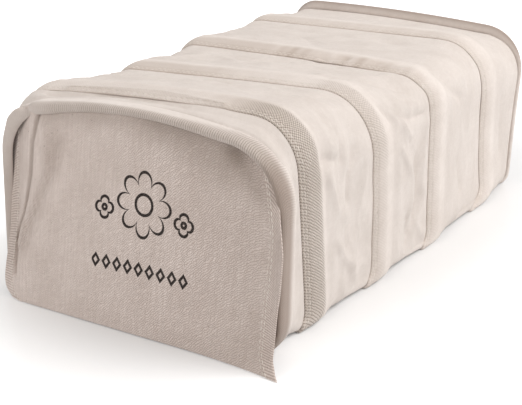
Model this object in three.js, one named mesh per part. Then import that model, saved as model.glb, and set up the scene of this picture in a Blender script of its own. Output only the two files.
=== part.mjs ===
// A canvas bread bag that stands open as a long box-shaped tunnel on its flat bottom.
// Five rings of cloth are joined end to end. A tape casing covers each join and holds a hoop, so the
// cloth steps out at the casing and sinks in again before the next one. The mouth has a rolled rim
// with a flap hanging from it, and the back end has a rolled rim and a closing panel.
// Millimetres, +Z up. The mouth faces -Y and the length runs along +Y.
import * as THREE from "three";

const CLOTH = 1.5;            // thickness of the body cloth
const TAPE = 1.2;             // thickness of the casing tape
const FLAP_CLOTH = 1.2;       // thickness of the flap
const GAP = 0.3;              // air between two pieces that are sewn together
const CASING_WIDTH = 18;      // width of each casing, front to back
const JOIN = 0.3;             // where the two sections under a casing meet, as a share of its width
const FRONT_RIM_DEPTH = 8;    // depth of the front rim, front to back
const REAR_RIM_DEPTH = 7;     // depth of the rear rim, front to back
const FLAP_SLOPE = 0.165;     // how far the flap leans back for each mm of height
const FLAP_FOOT = 0.4;        // air under the flap's bottom edge
const FLAP_TURN = 0.35;       // how steeply the strip left of the flap's crease turns back
const FLAP_SPREAD = 65;       // width of the part at the right that hangs forward
const RIM_SIDES = 8;          // flats round a rolled rim
const FLAP_ACROSS = 16;       // grid steps across the flap, right of its crease
const FLAP_UP = 12;           // grid steps up the flap

// Grid steps along each part of an outline.
const STEPS = { side: 5, shoulder: 5, top: 7, foot: 3, base: 4 };

// The hoops, from the mouth to the back end, as the outermost line of the cloth over each.
// at: place along the length, on the ground. lean: how far the hoop leans back for each mm of height.
// left, right: half widths. tallLeft, tallRight: heights of the two shoulders. roundLeft, roundRight,
// foot: radii of the shoulders and of both bottom corners. crown: rise of the middle of the top.
// stepSide, stepTop: how far the casing stands proud of the cloth in front of it. spread: how far the
// sides flare out at the ground.
const HOOPS = [
  { at: 15, lean: 0.045, left: 91, right: 90, tallLeft: 112.5, tallRight: 113.5,
    roundLeft: 25, roundRight: 24, foot: 18, crown: 4, stepSide: 0, stepTop: 0, spread: 0 },
  { at: 52.1, lean: -0.114, left: 95, right: 87.5, tallLeft: 114.5, tallRight: 119.6,
    roundLeft: 18, roundRight: 29.5, foot: 9, crown: 2.4, stepSide: 4.5, stepTop: 2.2, spread: 0 },
  { at: 120, lean: -0.038, left: 94.5, right: 92.5, tallLeft: 113.2, tallRight: 115.9,
    roundLeft: 18, roundRight: 37.5, foot: 8.5, crown: 0.5, stepSide: 4, stepTop: 2.5, spread: 0 },
  { at: 191.6, lean: -0.067, left: 96, right: 96.3, tallLeft: 115, tallRight: 113.1,
    roundLeft: 22, roundRight: 24.5, foot: 8, crown: 1, stepSide: 3.8, stepTop: 3.5, spread: 0.5 },
  { at: 284, lean: -0.025, left: 98, right: 94.3, tallLeft: 113.5, tallRight: 114.5,
    roundLeft: 24, roundRight: 35, foot: 8.5, crown: 0, stepSide: 4, stepTop: 2, spread: 3.5 },
  { at: 336, lean: 0.18, left: 94, right: 94.8, tallLeft: 115, tallRight: 110,
    roundLeft: 18, roundRight: 33, foot: 9, crown: 1.6, stepSide: 4, stepTop: 5, spread: 1.5 },
];
const SPREAD_REACH = 60;      // how far up the sides flare out towards the ground

// A casing's outer face. back: distance behind its front edge, as a share of the width.
// low: share of the step that it still lacks.
const CASING = [
  { back: 0, low: 1 },
  { back: JOIN, low: 0.42 },
  { back: 0.65, low: 0.1 },
  { back: 1, low: 0 },
];

// How a section sinks from one casing to the next. along: share of the way between them.
// low: share of the next step. lift: rise of the bottom off the ground, in mm.
const SINK = [
  { along: 0, low: 0, lift: 0 },
  { along: 0.35, low: 0.6, lift: 0.9 },
  { along: 0.7, low: 1.15, lift: 1.3 },
  { along: 1, low: 1.06, lift: 0.8 },
];

// The two rims' thickness, from the outermost line inwards, on each part of the outline.
const FRONT_RIM = { side: 4.5, top: 6.5, base: 3 };
const REAR_RIM = { side: 5, top: 8, base: 3 };

// The flap's free edges and its crease. tall: height up the flap. left, crease, right: places across.
// front: how far the right edge hangs forward of the slope.
const FLAP = [
  { tall: 0, left: -78, crease: -71, right: 97.5, front: 4.5 },
  { tall: 6, left: -85.5, crease: -72.5, right: 94, front: 2 },
  { tall: 12, left: -86.8, crease: -73, right: 92.3, front: 1 },
  { tall: 32, left: -84.8, crease: -74, right: 92.2, front: 0.5 },
  { tall: 43, left: -82.5, crease: -71, right: 92.2, front: 0.7 },
  { tall: 55, left: -81, crease: -68, right: 92.8, front: 1 },
  { tall: 80, left: -83.4, crease: -66, right: 93.3, front: 2.5 },
  { tall: 95, left: -84, crease: -65, right: 93, front: 3 },
  { tall: 103, left: -81, crease: -64, right: 92.3, front: 3.3 },
  { tall: 110, left: -76, crease: -63, right: 91.5, front: 3.5 },
];

// The flap's top edge, just under the front rim and free at its right end.
const FLAP_TOP = [
  { x: -80, z: 98.5 }, { x: -74, z: 103.2 }, { x: -65, z: 105.2 }, { x: -30, z: 108.9 },
  { x: 0, z: 109.9 }, { x: 35, z: 109.2 }, { x: 66, z: 106.2 }, { x: 76, z: 103.2 },
  { x: 82, z: 97.5 }, { x: 85, z: 94 }, { x: 92, z: 92 },
];

const CANVAS = { color: "#e4dbd3", roughness: 0.92, metalness: 0 };
const TAPE_FINISH = { color: "#cfc4ba", roughness: 0.95, metalness: 0 };
const FLAP_FINISH = { color: "#bfb1a8", roughness: 0.93, metalness: 0 };

const lerp = THREE.MathUtils.lerp;

// The value in a table's column where its key column reaches a given place.
function lookUp(table, key, place, column) {
  const next = table.findIndex((row) => row[key] >= place);
  if (next === 0) return table[0][column];
  if (next < 0) return table[table.length - 1][column];
  const [a, b] = [table[next - 1], table[next]];
  return lerp(a[column], b[column], (place - a[key]) / (b[key] - a[key]));
}

// A hoop a given share of the way from one to another.
function between(a, b, share) {
  const blend = (key) => [key, lerp(a[key], b[key], share)];
  return Object.fromEntries(Object.keys(a).map(blend));
}

// Points round a quarter circle, each with the direction that faces out of the outline.
function corner(cx, cz, radius, quarter, steps) {
  return Array.from({ length: steps }, (_, i) => {
    const turn = (quarter + i / steps) * Math.PI / 2;
    const [ox, oz] = [Math.cos(turn), Math.sin(turn)];
    return { x: cx + radius * ox, z: cz + radius * oz, ox, oz };
  });
}

// Points along a straight or crowned run between two corners.
function run(x0, z0, x1, z1, ox, oz, rise, steps) {
  return Array.from({ length: steps }, (_, i) => {
    const t = i / steps;
    const lift = rise * (1 - (2 * t - 1) ** 2);
    return { x: lerp(x0, x1, t), z: lerp(z0, z1, t) + lift, ox, oz };
  });
}

// A hoop's outline seen from the front, anticlockwise from the foot of its right side.
function outline(h) {
  const f = h.foot;
  const [rightTurn, leftTurn] = [h.right - h.roundRight, h.roundLeft - h.left];
  const [rightTop, leftTop] = [h.tallRight - h.roundRight, h.tallLeft - h.roundLeft];
  return [
    ...run(h.right, f, h.right, rightTop, 1, 0, 0, STEPS.side),
    ...corner(rightTurn, rightTop, h.roundRight, 0, STEPS.shoulder),
    ...run(rightTurn, h.tallRight, leftTurn, h.tallLeft, 0, 1, h.crown, STEPS.top),
    ...corner(leftTurn, leftTop, h.roundLeft, 1, STEPS.shoulder),
    ...run(-h.left, leftTop, -h.left, f, -1, 0, 0, STEPS.side),
    ...corner(f - h.left, f, f, 2, STEPS.foot),
    ...run(f - h.left, 0, h.right - f, 0, 0, -1, 0, STEPS.base),
    ...corner(h.right - f, f, f, 3, STEPS.foot),
  ];
}

// One line round the bag: a hoop's outline moved in from its outermost line by a depth that may
// differ on the sides, the top and the base.
function line(hoop, at, depth) {
  return outline(hoop).map((p) => {
    const top = Math.max(p.oz, 0) ** 2;
    const base = Math.max(-p.oz, 0) ** 2;
    const d = depth.side * (1 - top - base) + depth.top * top + depth.base * base;
    const spread = 1 + hoop.spread / hoop.right * Math.max(0, 1 - p.z / SPREAD_REACH) ** 2;
    const [x, z] = [p.x * spread - d * p.ox, p.z - d * p.oz];
    return new THREE.Vector3(x, at + hoop.lean * z, z);
  });
}

const deeper = (d, by) => ({ side: d.side + by, top: d.top + by, base: d.base + by });

function solid(points, indices) {
  const geometry = new THREE.BufferGeometry().setFromPoints(points);
  geometry.setIndex(indices);
  geometry.computeVertexNormals();
  return geometry;
}

// A closed ring from lines round the bag, given in order round the ring's own cross-section.
// Both halves split their quads along the same diagonal, so that nested cloths keep their distance.
function ring(lines) {
  const [m, n] = [lines.length, lines[0].length];
  const indices = [];
  for (let i = 0; i < m; i++) {
    const [here, next] = [i * n, ((i + 1) % m) * n];
    for (let j = 0; j < n; j++) {
      const k = (j + 1) % n;
      const [a, b, c, d] = [here + j, next + j, next + k, here + k];
      indices.push(...(i < m / 2 ? [a, b, d, b, c, d] : [a, b, c, a, c, d]));
    }
  }
  return solid(lines.flat(), indices);
}

// A ring of cloth from rows of its outer face, front to back.
function clothRing(rows, thick) {
  const inner = rows.map((r) => ({ ...r, depth: deeper(r.depth, thick) })).reverse();
  return ring([...rows, ...inner].map((r) => line(r.hoop, r.at, r.depth)));
}

// How far in a casing's outer face lies, a given distance behind its front edge.
function casingDepth(hoop, back) {
  const low = lookUp(CASING, "back", back / CASING_WIDTH, "low");
  return { side: low * hoop.stepSide, top: low * hoop.stepTop, base: 0 };
}

function casing(hoop) {
  const rows = CASING.map(({ back }) => {
    const behind = back * CASING_WIDTH;
    return { hoop, at: hoop.at + behind, depth: casingDepth(hoop, behind) };
  });
  return clothRing(rows, TAPE);
}

// The part of a section that a casing covers, a tape's thickness and a gap below it.
function coveredRows(hoop) {
  return CASING.slice(1, -1).map(({ back }) => {
    const behind = back * CASING_WIDTH;
    const depth = deeper(casingDepth(hoop, behind), TAPE + GAP);
    return { hoop, at: hoop.at + behind, depth };
  });
}

// The part of a section between two hoops, which sinks in as it goes back.
function openRows(hoop, next, start, end) {
  return SINK.map(({ along, low, lift }) => {
    const depth = { side: low * next.stepSide, top: low * next.stepTop, base: lift };
    const at = lerp(start, end, along);
    return { hoop: between(hoop, next, along), at, depth: deeper(depth, TAPE + GAP) };
  });
}

function section(number) {
  const [hoop, next] = [HOOPS[number - 1], HOOPS[number]];
  const isFirst = number === 1;
  const isLast = number === HOOPS.length - 1;
  const start = hoop.at + (isFirst ? FRONT_RIM_DEPTH / 2 + GAP : CASING_WIDTH);
  const end = next.at - (isLast ? REAR_RIM_DEPTH / 2 + GAP : 0);
  const rows = openRows(hoop, next, start, end);
  if (!isFirst) rows.unshift(...coveredRows(hoop));
  if (!isLast) rows.push({ ...rows.at(-1), at: next.at + JOIN * CASING_WIDTH - GAP });
  return clothRing(rows, CLOTH);
}

// A rolled rim round one hoop, as a ring of oval cross-section.
function rim(hoop, depth, thick) {
  const lines = Array.from({ length: RIM_SIDES }, (_, i) => {
    const turn = 2 * Math.PI * (i + 0.5) / RIM_SIDES;
    const share = (1 - Math.sin(turn)) / 2;
    const [side, top, base] = [share * thick.side, share * thick.top, share * thick.base];
    return line(hoop, hoop.at - depth / 2 * Math.cos(turn), { side, top, base });
  });
  return ring(lines);
}

// The closing cloth inside the rear rim, as a disc with a middle point on each face.
function backPanel() {
  const hoop = HOOPS.at(-1);
  const edge = deeper(REAR_RIM, GAP);
  const [front, back] = [-CLOTH / 2, CLOTH / 2].map((by) => line(hoop, hoop.at + by, edge));
  const middle = (pts) => new THREE.Box3().setFromPoints(pts).getCenter(new THREE.Vector3());
  const n = front.length;
  const indices = [];
  for (let j = 0; j < n; j++) {
    const k = (j + 1) % n;
    indices.push(2 * n, j, k, 2 * n + 1, n + k, n + j);
    indices.push(j, n + j, k, k, n + j, n + k);
  }
  return solid([...front, ...back, middle(front), middle(back)], indices);
}

// A point of the flap's front face. across and up are shares of its width and height, and the
// first two steps across are the strip left of the crease.
function flapPoint(across, up) {
  const tall = up * FLAP.at(-1).tall;
  const [left, crease, right, front] = ["left", "crease", "right", "front"]
    .map((column) => lookUp(FLAP, "tall", tall, column));
  const x = across < 0 ? lerp(crease, left, -across) : lerp(crease, right, across);
  const z = lerp(FLAP_FOOT, lookUp(FLAP_TOP, "x", x, "z"), up);
  const turnedBack = Math.max(crease - x, 0) * FLAP_TURN;
  const forward = front * Math.max((x - right) / FLAP_SPREAD + 1, 0) ** 2;
  return new THREE.Vector3(x, FLAP_SLOPE * z + turnedBack - forward, z);
}

function flap() {
  const columns = [-1, -0.5, ...Array.from({ length: FLAP_ACROSS + 1 }, (_, i) => i / FLAP_ACROSS)];
  const rows = Array.from({ length: FLAP_UP + 1 }, (_, i) => i / FLAP_UP);
  const front = rows.flatMap((up) => columns.map((across) => flapPoint(across, up)));
  const back = front.map((p) => p.clone().add(new THREE.Vector3(0, FLAP_CLOTH, 0)));
  const [n, m, all] = [columns.length, rows.length, front.length];
  const indices = [];
  const quad = (a, b, c, d) => indices.push(a, b, d, b, c, d);
  for (let i = 0; i + 1 < m; i++) {
    for (let j = 0; j + 1 < n; j++) {
      const a = i * n + j;
      quad(a, a + 1, a + n + 1, a + n);
      quad(all + a + 1, all + a, all + a + n, all + a + n + 1);
    }
    const [left, right] = [i * n, i * n + n - 1];
    quad(all + left, left, left + n, all + left + n);
    quad(right, all + right, all + right + n, right + n);
  }
  for (let j = 0; j + 1 < n; j++) {
    const top = (m - 1) * n + j;
    quad(all + j, all + j + 1, j + 1, j);
    quad(top, top + 1, all + top + 1, all + top);
  }
  return solid([...front, ...back], indices);
}

const bag = new THREE.Group();

function add(name, geometry, finish) {
  const mesh = new THREE.Mesh(geometry, new THREE.MeshStandardMaterial(finish));
  mesh.name = name;
  bag.add(mesh);
}

for (let number = 1; number < HOOPS.length; number++) {
  add(`section_${number}`, section(number), CANVAS);
}
HOOPS.slice(1, -1).forEach((hoop, i) => add(`casing_${i + 1}`, casing(hoop), TAPE_FINISH));
add("front_rim", rim(HOOPS[0], FRONT_RIM_DEPTH, FRONT_RIM), CANVAS);
add("rear_rim", rim(HOOPS.at(-1), REAR_RIM_DEPTH, REAR_RIM), CANVAS);
add("back_panel", backPanel(), CANVAS);
add("front_flap", flap(), FLAP_FINISH);

// The bag stands on the ground plane, centred over the origin.
const box = new THREE.Box3().setFromObject(bag);
const middle = box.getCenter(new THREE.Vector3());
bag.position.set(-middle.x, -middle.y, -box.min.z);

export default bag;
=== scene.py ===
# %% [markdown]
# # A canvas bread bag
# The bag stands open like a box-shaped tunnel. Five rings of canvas are sewn end to end, a tape
# casing over each seam holds a hoop, the mouth has a rolled rim with a flap hanging from it, and
# the back end is closed with a plain panel.
# Each piece could be cut and draped by simulation, but cloth that is held by hoops keeps its shape.
# So every piece is lofted from one table of hoops, then creased and given its weave.

import math

import bpy
import numpy as np
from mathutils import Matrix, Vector, noise


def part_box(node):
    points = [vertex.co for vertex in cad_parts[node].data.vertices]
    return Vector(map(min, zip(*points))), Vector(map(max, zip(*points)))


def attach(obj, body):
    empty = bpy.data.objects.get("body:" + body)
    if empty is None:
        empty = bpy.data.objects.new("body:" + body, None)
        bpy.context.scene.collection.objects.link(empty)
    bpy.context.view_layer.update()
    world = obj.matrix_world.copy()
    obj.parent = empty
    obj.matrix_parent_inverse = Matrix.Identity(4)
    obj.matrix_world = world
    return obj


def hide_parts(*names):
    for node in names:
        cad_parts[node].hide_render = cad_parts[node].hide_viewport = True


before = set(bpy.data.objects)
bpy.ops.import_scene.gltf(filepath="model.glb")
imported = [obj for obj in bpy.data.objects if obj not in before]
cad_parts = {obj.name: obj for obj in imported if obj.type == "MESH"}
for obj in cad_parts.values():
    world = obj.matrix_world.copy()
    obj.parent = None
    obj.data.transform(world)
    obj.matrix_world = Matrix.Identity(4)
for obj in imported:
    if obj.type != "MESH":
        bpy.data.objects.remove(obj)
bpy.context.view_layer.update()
bpy.ops.object.select_all(action="DESELECT")

# %% [markdown]
# ## Camera
# A product view from the right of the mouth, a little above the bag. It could be taken from close
# by, but a long lens keeps the rings nearly parallel, so the camera stands well back.

# %% Camera
CAMERA_PLACE = (0.32664, -0.57706, 0.26001)
CAMERA_AZIMUTH = 30.889     # degrees to the right of the mouth
CAMERA_DROP = 20.217        # degrees down from level
CAMERA_LENS = 74.534        # mm
CAMERA_FRAME = 36           # mm, the width of the frame behind the lens

bpy.ops.object.camera_add(location=CAMERA_PLACE)
camera = bpy.context.object
camera.name = "camera"
camera.rotation_euler = (math.radians(90 - CAMERA_DROP), 0, math.radians(CAMERA_AZIMUTH))
camera.data.lens = CAMERA_LENS
camera.data.sensor_width = CAMERA_FRAME
bpy.context.scene.camera = camera
print("camera lens", camera.data.lens)

# %% [markdown]
# ## Studio
# A pale floor, two wide soft lamps and a world that fills the shade. Away from the bag the floor is
# lifted to white for the camera, and from low down a light grey shows above it, while the cloth gets
# only the plain light. The stronger lamp stands high behind the right side, so that tops and sides
# are bright and the flap is in soft shade, and a weaker one at the front left brings out its folds.

# %% World
FILL = 0.56
FILL_COLOUR = (1, 0.965, 0.935, 1)     # the pale walls of a studio
SEEN = 1.0                             # what the camera and reflections get of the next colour
SEEN_COLOUR = (0.8, 0.8, 0.8, 1)       # a light grey

world = bpy.data.worlds.new("studio")
bpy.context.scene.world = world
world.use_nodes = True
tree = world.node_tree
tree.nodes.clear()
paths = tree.nodes.new("ShaderNodeLightPath")
lit = tree.nodes.new("ShaderNodeBackground")
lit.inputs["Strength"].default_value = FILL
lit.inputs["Color"].default_value = FILL_COLOUR
seen = tree.nodes.new("ShaderNodeBackground")
seen.inputs["Strength"].default_value = SEEN
seen.inputs["Color"].default_value = SEEN_COLOUR
either = tree.nodes.new("ShaderNodeMath")
either.operation = "MAXIMUM"
choose = tree.nodes.new("ShaderNodeMixShader")
output = tree.nodes.new("ShaderNodeOutputWorld")
tree.links.new(paths.outputs["Is Camera Ray"], either.inputs[0])
tree.links.new(paths.outputs["Is Glossy Ray"], either.inputs[1])
tree.links.new(either.outputs[0], choose.inputs["Fac"])
tree.links.new(lit.outputs[0], choose.inputs[1])
tree.links.new(seen.outputs[0], choose.inputs[2])
tree.links.new(choose.outputs[0], output.inputs["Surface"])
bpy.context.scene.view_settings.view_transform = "Standard"
print("fill", FILL)

# %% Lamps
LAMPS = [
    # name, place, size in metres, watts
    ("key_lamp", (1.05, 0.42, 1.20), 1.0, 17.0),
    ("front_lamp", (-0.55, -1.15, 0.60), 0.8, 3.6),
]

for name, place, size, watts in LAMPS:
    bpy.ops.object.light_add(type="AREA", location=place)
    lamp = bpy.context.object
    lamp.name = name
    lamp.data.shape = "DISK"
    lamp.data.size = size
    lamp.data.energy = watts
    lamp.rotation_euler = (-Vector(place)).to_track_quat("-Z", "Y").to_euler()
print(len(LAMPS), "lamps")

# %% Floor
FLOOR_SIZE = 30                       # metres, so that its edge is out of sight
FLOOR_COLOUR = (0.86, 0.865, 0.87, 1)
FLOOR_ROUGHNESS = 0.25
FLOOR_GLOSS = 0.35
BAG_HALF = (0.10, 0.18)               # half of the bag's width and length, in metres
FLOOR_SHIFT = (0, -0.3, 0)            # in half bags: the shade reaches less far in front of the mouth
FLOOR_FADE = (1.05, 2.3)              # in half bags: where the lift to white starts and where it ends
FLOOR_LIFT = (0.04, 0.62)             # how much light the floor adds for the camera at those places

bpy.ops.mesh.primitive_plane_add(size=FLOOR_SIZE, location=(0, 0, 0))
floor = bpy.context.object
floor.name = "floor"
paint = bpy.data.materials.new("floor_paint")
paint.use_nodes = True
tree = paint.node_tree
surface = tree.nodes["Principled BSDF"]
surface.inputs["Base Color"].default_value = FLOOR_COLOUR
surface.inputs["Roughness"].default_value = FLOOR_ROUGHNESS
surface.inputs["Specular IOR Level"].default_value = FLOOR_GLOSS
paths = tree.nodes.new("ShaderNodeLightPath")
place = tree.nodes.new("ShaderNodeTexCoord")
scaled = tree.nodes.new("ShaderNodeVectorMath")
scaled.operation = "MULTIPLY_ADD"
scaled.inputs[1].default_value = (1 / BAG_HALF[0], 1 / BAG_HALF[1], 0)
scaled.inputs[2].default_value = FLOOR_SHIFT
length = tree.nodes.new("ShaderNodeVectorMath")
length.operation = "LENGTH"
fade = tree.nodes.new("ShaderNodeMapRange")
fade.interpolation_type = "SMOOTHSTEP"
for socket, number in zip(list(fade.inputs)[1:5], (*FLOOR_FADE, *FLOOR_LIFT)):
    socket.default_value = number
lift = tree.nodes.new("ShaderNodeMath")
lift.operation = "MULTIPLY"
tree.links.new(place.outputs["Object"], scaled.inputs[0])
tree.links.new(scaled.outputs[0], length.inputs[0])
tree.links.new(length.outputs["Value"], fade.inputs[0])
tree.links.new(fade.outputs[0], lift.inputs[0])
tree.links.new(paths.outputs["Is Camera Ray"], lift.inputs[1])
surface.inputs["Emission Color"].default_value = (1, 1, 1, 1)
tree.links.new(lift.outputs[0], surface.inputs["Emission Strength"])
floor.data.materials.append(paint)
print("floor is ready")

# %% [markdown]
# ## The bag's measures
# A maker works from the hoops: how wide and tall each is, how round its corners are and how far it
# leans. The same tables shape the cloth here, in millimetres with the mouth at the front and the
# length running back. The frame says where the bag stands.

# %% Hoops and steps
MM = 0.001
CASING_WIDTH = 18
UNDER = 1.5        # how far a section lies below the outer face of the casing on it
COVER = 0.5        # and how far between the casings
JOIN = 0.3         # where two sections meet under a casing, as a share of its width
RIM_DEPTH = {"front": 8, "rear": 7}     # mm along the bag

# at is how far a hoop stands behind the mouth, and lean how far it goes back for each mm up. left and
# right are its half widths, tall its height at a shoulder, round and foot the radii of its corners
# and crown the rise of its top. The cloth sinks by the steps before it meets the hoop. spread and
# sweep say how far the bottom corners are pulled out and forward.
HOOP_COLUMNS = ("at", "lean", "left", "right", "tall_left", "tall_right", "round_left",
                "round_right", "foot", "crown", "step_side", "step_top", "spread", "sweep")
HOOPS = [dict(zip(HOOP_COLUMNS, row)) for row in [
    (15, 0.045, 91, 90, 112.5, 112.5, 32, 36, 18, 4.6, 0, 0, 0, 0),
    (52.1, -0.114, 95, 87.5, 114.5, 119.6, 18, 29.5, 7, 2.4, 4.5, 2.2, 0, 7),
    (120, -0.038, 94.5, 92.5, 111.4, 115.9, 20, 37.5, 6.5, 0.5, 4, 2.5, 0, 7),
    (191.6, -0.067, 94.5, 96.3, 115, 113.1, 20, 24.5, 4.5, 1, 3.8, 3.5, 0, 8),
    (284, -0.025, 98.5, 94.3, 113.5, 114.5, 16, 35, 5, 0, 4, 2, 4.5, 22),
    (336, 0.18, 94, 94.8, 115, 110, 18, 33, 6, 1.6, 0.6, 5, 1.5, 6),
]]
SPREAD_REACH = 60      # how far up the sides spread out towards the ground
SWEEP_REACH = 13       # how far up the bottom corners are pulled forward

# The flap's right corner and the foot of the first casing fix the bag's place in the frame.
FLAP_CORNER = 97.5
PLACE = Vector((
    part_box("front_flap")[1].x - FLAP_CORNER * MM,
    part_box("casing_1")[1].y - (HOOPS[1]["at"] + CASING_WIDTH) * MM,
    0,
))
print("the mouth's middle stands at", tuple(PLACE))

# %% [markdown]
# ## Smooth tables and outlines
# A table holds only the values that a maker would note, and a curve that never overshoots runs
# through them. An outline starts at the middle of the base, so that its seam is out of sight, and
# goes up the right side, over the top and down the left.

# %% Curves through tables
def flowing(keys, values, at):
    """A smooth curve through a table's values, with no overshoot, read at the given places."""
    keys, values = np.asarray(keys, float), np.asarray(values, float)
    at = np.clip(at, keys[0], keys[-1])
    gap = np.diff(keys)
    slope = np.diff(values) / gap
    tangent = np.zeros(len(keys))
    tangent[[0, -1]] = slope[[0, -1]]
    steady = slope[:-1] * slope[1:] > 0
    a, b = slope[:-1][steady], slope[1:][steady]
    tangent[1:-1][steady] = 2 * a * b / (a + b)
    i = np.clip(np.searchsorted(keys, at) - 1, 0, len(gap) - 1)
    t = (at - keys[i]) / gap[i]
    rise = values[i] * (1 + 2 * t) * (1 - t) ** 2 + values[i + 1] * (3 - 2 * t) * t**2
    return rise + gap[i] * t * (1 - t) * (tangent[i] * (1 - t) - tangent[i + 1] * t)


def ease(value, low, high):
    """0 below low, 1 above high and a soft step between."""
    t = np.clip((value - low) / (high - low), 0, 1)
    return t * t * (3 - 2 * t)


print("half way up a soft step:", ease(0.5, 0, 1))

# %% A hoop's outline
# How many points each run of an outline has. The base has two such runs, one on each side.
STEPS = {"base": 26, "foot": 12, "side": 50, "shoulder": 28, "top": 84}
MIDDLE = STEPS["base"] + STEPS["foot"] + STEPS["side"] + STEPS["shoulder"] + STEPS["top"] // 2
EVENED = 4      # how many times the joins of the runs are evened out


def bow(x, z, radius, quarter, steps):
    """Points round a quarter circle, each with the direction that faces out."""
    turn = (quarter + np.arange(steps) / steps) * math.pi / 2
    out = np.stack([np.cos(turn), np.sin(turn)], 1)
    return np.hstack([np.array([x, z]) + radius * out, out])


def straight(start, end, out, steps, rise=0.0):
    """Points along a straight or crowned run."""
    t = np.arange(steps)[:, None] / steps
    place = (1 - t) * np.array(start, float) + t * np.array(end, float)
    place[:, 1:] += rise * (1 - (2 * t - 1) ** 2)
    return np.hstack([place, np.tile(out, (steps, 1))])


def outline(h):
    """A hoop's outline as x, z and the direction that faces out, in even steps."""
    foot = h["foot"]
    right, left = h["right"] - h["round_right"], h["round_left"] - h["left"]
    right_top, left_top = h["tall_right"] - h["round_right"], h["tall_left"] - h["round_left"]
    ring = np.vstack([
        straight((0, 0), (h["right"] - foot, 0), (0, -1), STEPS["base"]),
        bow(h["right"] - foot, foot, foot, 3, STEPS["foot"]),
        straight((h["right"], foot), (h["right"], right_top), (1, 0), STEPS["side"]),
        bow(right, right_top, h["round_right"], 0, STEPS["shoulder"]),
        straight((right, h["tall_right"]), (left, h["tall_left"]), (0, 1), STEPS["top"], h["crown"]),
        bow(left, left_top, h["round_left"], 1, STEPS["shoulder"]),
        straight((-h["left"], left_top), (-h["left"], foot), (-1, 0), STEPS["side"]),
        bow(foot - h["left"], foot, foot, 2, STEPS["foot"]),
        straight((foot - h["left"], 0), (0, 0), (0, -1), STEPS["base"]),
    ])
    for _ in range(EVENED):
        ring = (np.roll(ring, 1, 0) + 2 * ring + np.roll(ring, -1, 0)) / 4
    return ring


def across_of(ring):
    """How far each point lies from the middle of the top, round the outline, right of it above 0."""
    length = np.linalg.norm(np.diff(ring[:, :2], axis=0), axis=1)
    run = np.concatenate([[0], np.cumsum(length)])
    return run[MIDDLE] - run


def between(a, b, share):
    """A hoop a given share of the way from one to another."""
    return {key: a[key] + (b[key] - a[key]) * share for key in a}


around_hoop = np.ptp(across_of(outline(HOOPS[3])))
print("cloth round the third hoop:", round(around_hoop), "mm")

# %% [markdown]
# ## A line round the bag
# Every row of cloth is one hoop's outline, moved in by a depth that differs on the sides, the top
# and the base. Hand-sewn seams are never quite straight, so each hoop has its own slow wander,
# which the casing and both sections under it share.

# %% Rows of cloth
SEAM_WANDER = 0.9       # mm either way
WANDER_WAVES = ((52, 0, 1.3), (13, 5, 0.35))     # mm round the bag, layer of the noise, share
HOOP_APART = 7.3        # keeps each hoop's waves apart from the next one's
JOGS = {3: [(98, 7, 1.3), (88, 8, -1.1)], 4: [(106, 6, 0.9)]}     # hoop: (across, reach, shift)


def seam_wander(number, across):
    """How far hoop number's seam strays along the bag, in mm."""
    stray = np.zeros(len(across))
    for length, layer, share in WANDER_WAVES:
        wave = [noise.noise(Vector((s / length, number * HOOP_APART, layer))) for s in across]
        stray += share * np.array(wave)
    stray *= SEAM_WANDER
    for at, reach, shift in JOGS.get(number, []):
        stray += shift * np.exp(-(((across - at) / reach) ** 2))
    return stray


def row(hoop, at, side, top, base, stray=0.0):
    """One line round the bag, in mm."""
    ring = outline(hoop)
    up = np.clip(ring[:, 3], 0, None) ** 2
    down = np.clip(-ring[:, 3], 0, None) ** 2
    depth = side * (1 - up - down) + top * up + base * down
    spread = 1 + hoop["spread"] / hoop["right"] * np.clip(1 - ring[:, 1] / SPREAD_REACH, 0, 1) ** 2
    sweep = hoop["sweep"] * np.clip(1 - ring[:, 1] / SWEEP_REACH, 0, 1) ** 2
    x = ring[:, 0] * spread - depth * ring[:, 2]
    z = ring[:, 1] - depth * ring[:, 3]
    return np.stack([x, at + hoop["lean"] * z + stray - sweep, z], 1)


STRAY = [seam_wander(i, across_of(outline(hoop))) for i, hoop in enumerate(HOOPS)]
print("widest stray:", round(max(np.abs(s).max() for s in STRAY), 2), "mm")

# %% [markdown]
# ## Cloth with two faces
# Cloth could be a bare surface with a Solidify modifier. Here both faces are made at once from the
# outer one, because a hem is thicker than the rest and a cut edge is round. The shell is closed.

# %% Grids of cloth
def facing(grid, wrap):
    """The direction that faces out at each point of a grid of rows round the bag."""
    along = np.gradient(grid, axis=0)
    if wrap:
        across = np.roll(grid, -1, 1) - np.roll(grid, 1, 1)
    else:
        across = np.gradient(grid, axis=1)
    out = np.cross(along, across)
    return out / np.linalg.norm(out, axis=2, keepdims=True)


def run_along(grid, axis):
    """Distance from the first row or column, measured over the cloth."""
    length = np.linalg.norm(np.diff(grid, axis=axis), axis=2)
    first = np.zeros_like(np.take(length, [0], axis=axis))
    return np.concatenate([first, np.cumsum(length, axis=axis)], axis=axis)


def from_edges(run, axis):
    """Distance from the nearer end of each run."""
    return np.minimum(run, np.take(run, [-1], axis=axis) - run)


print("grid helpers are ready")

# %% Shells of cloth
WEAVE_UNIT = 100     # mm of cloth in one unit of the weave's coordinates


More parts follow.
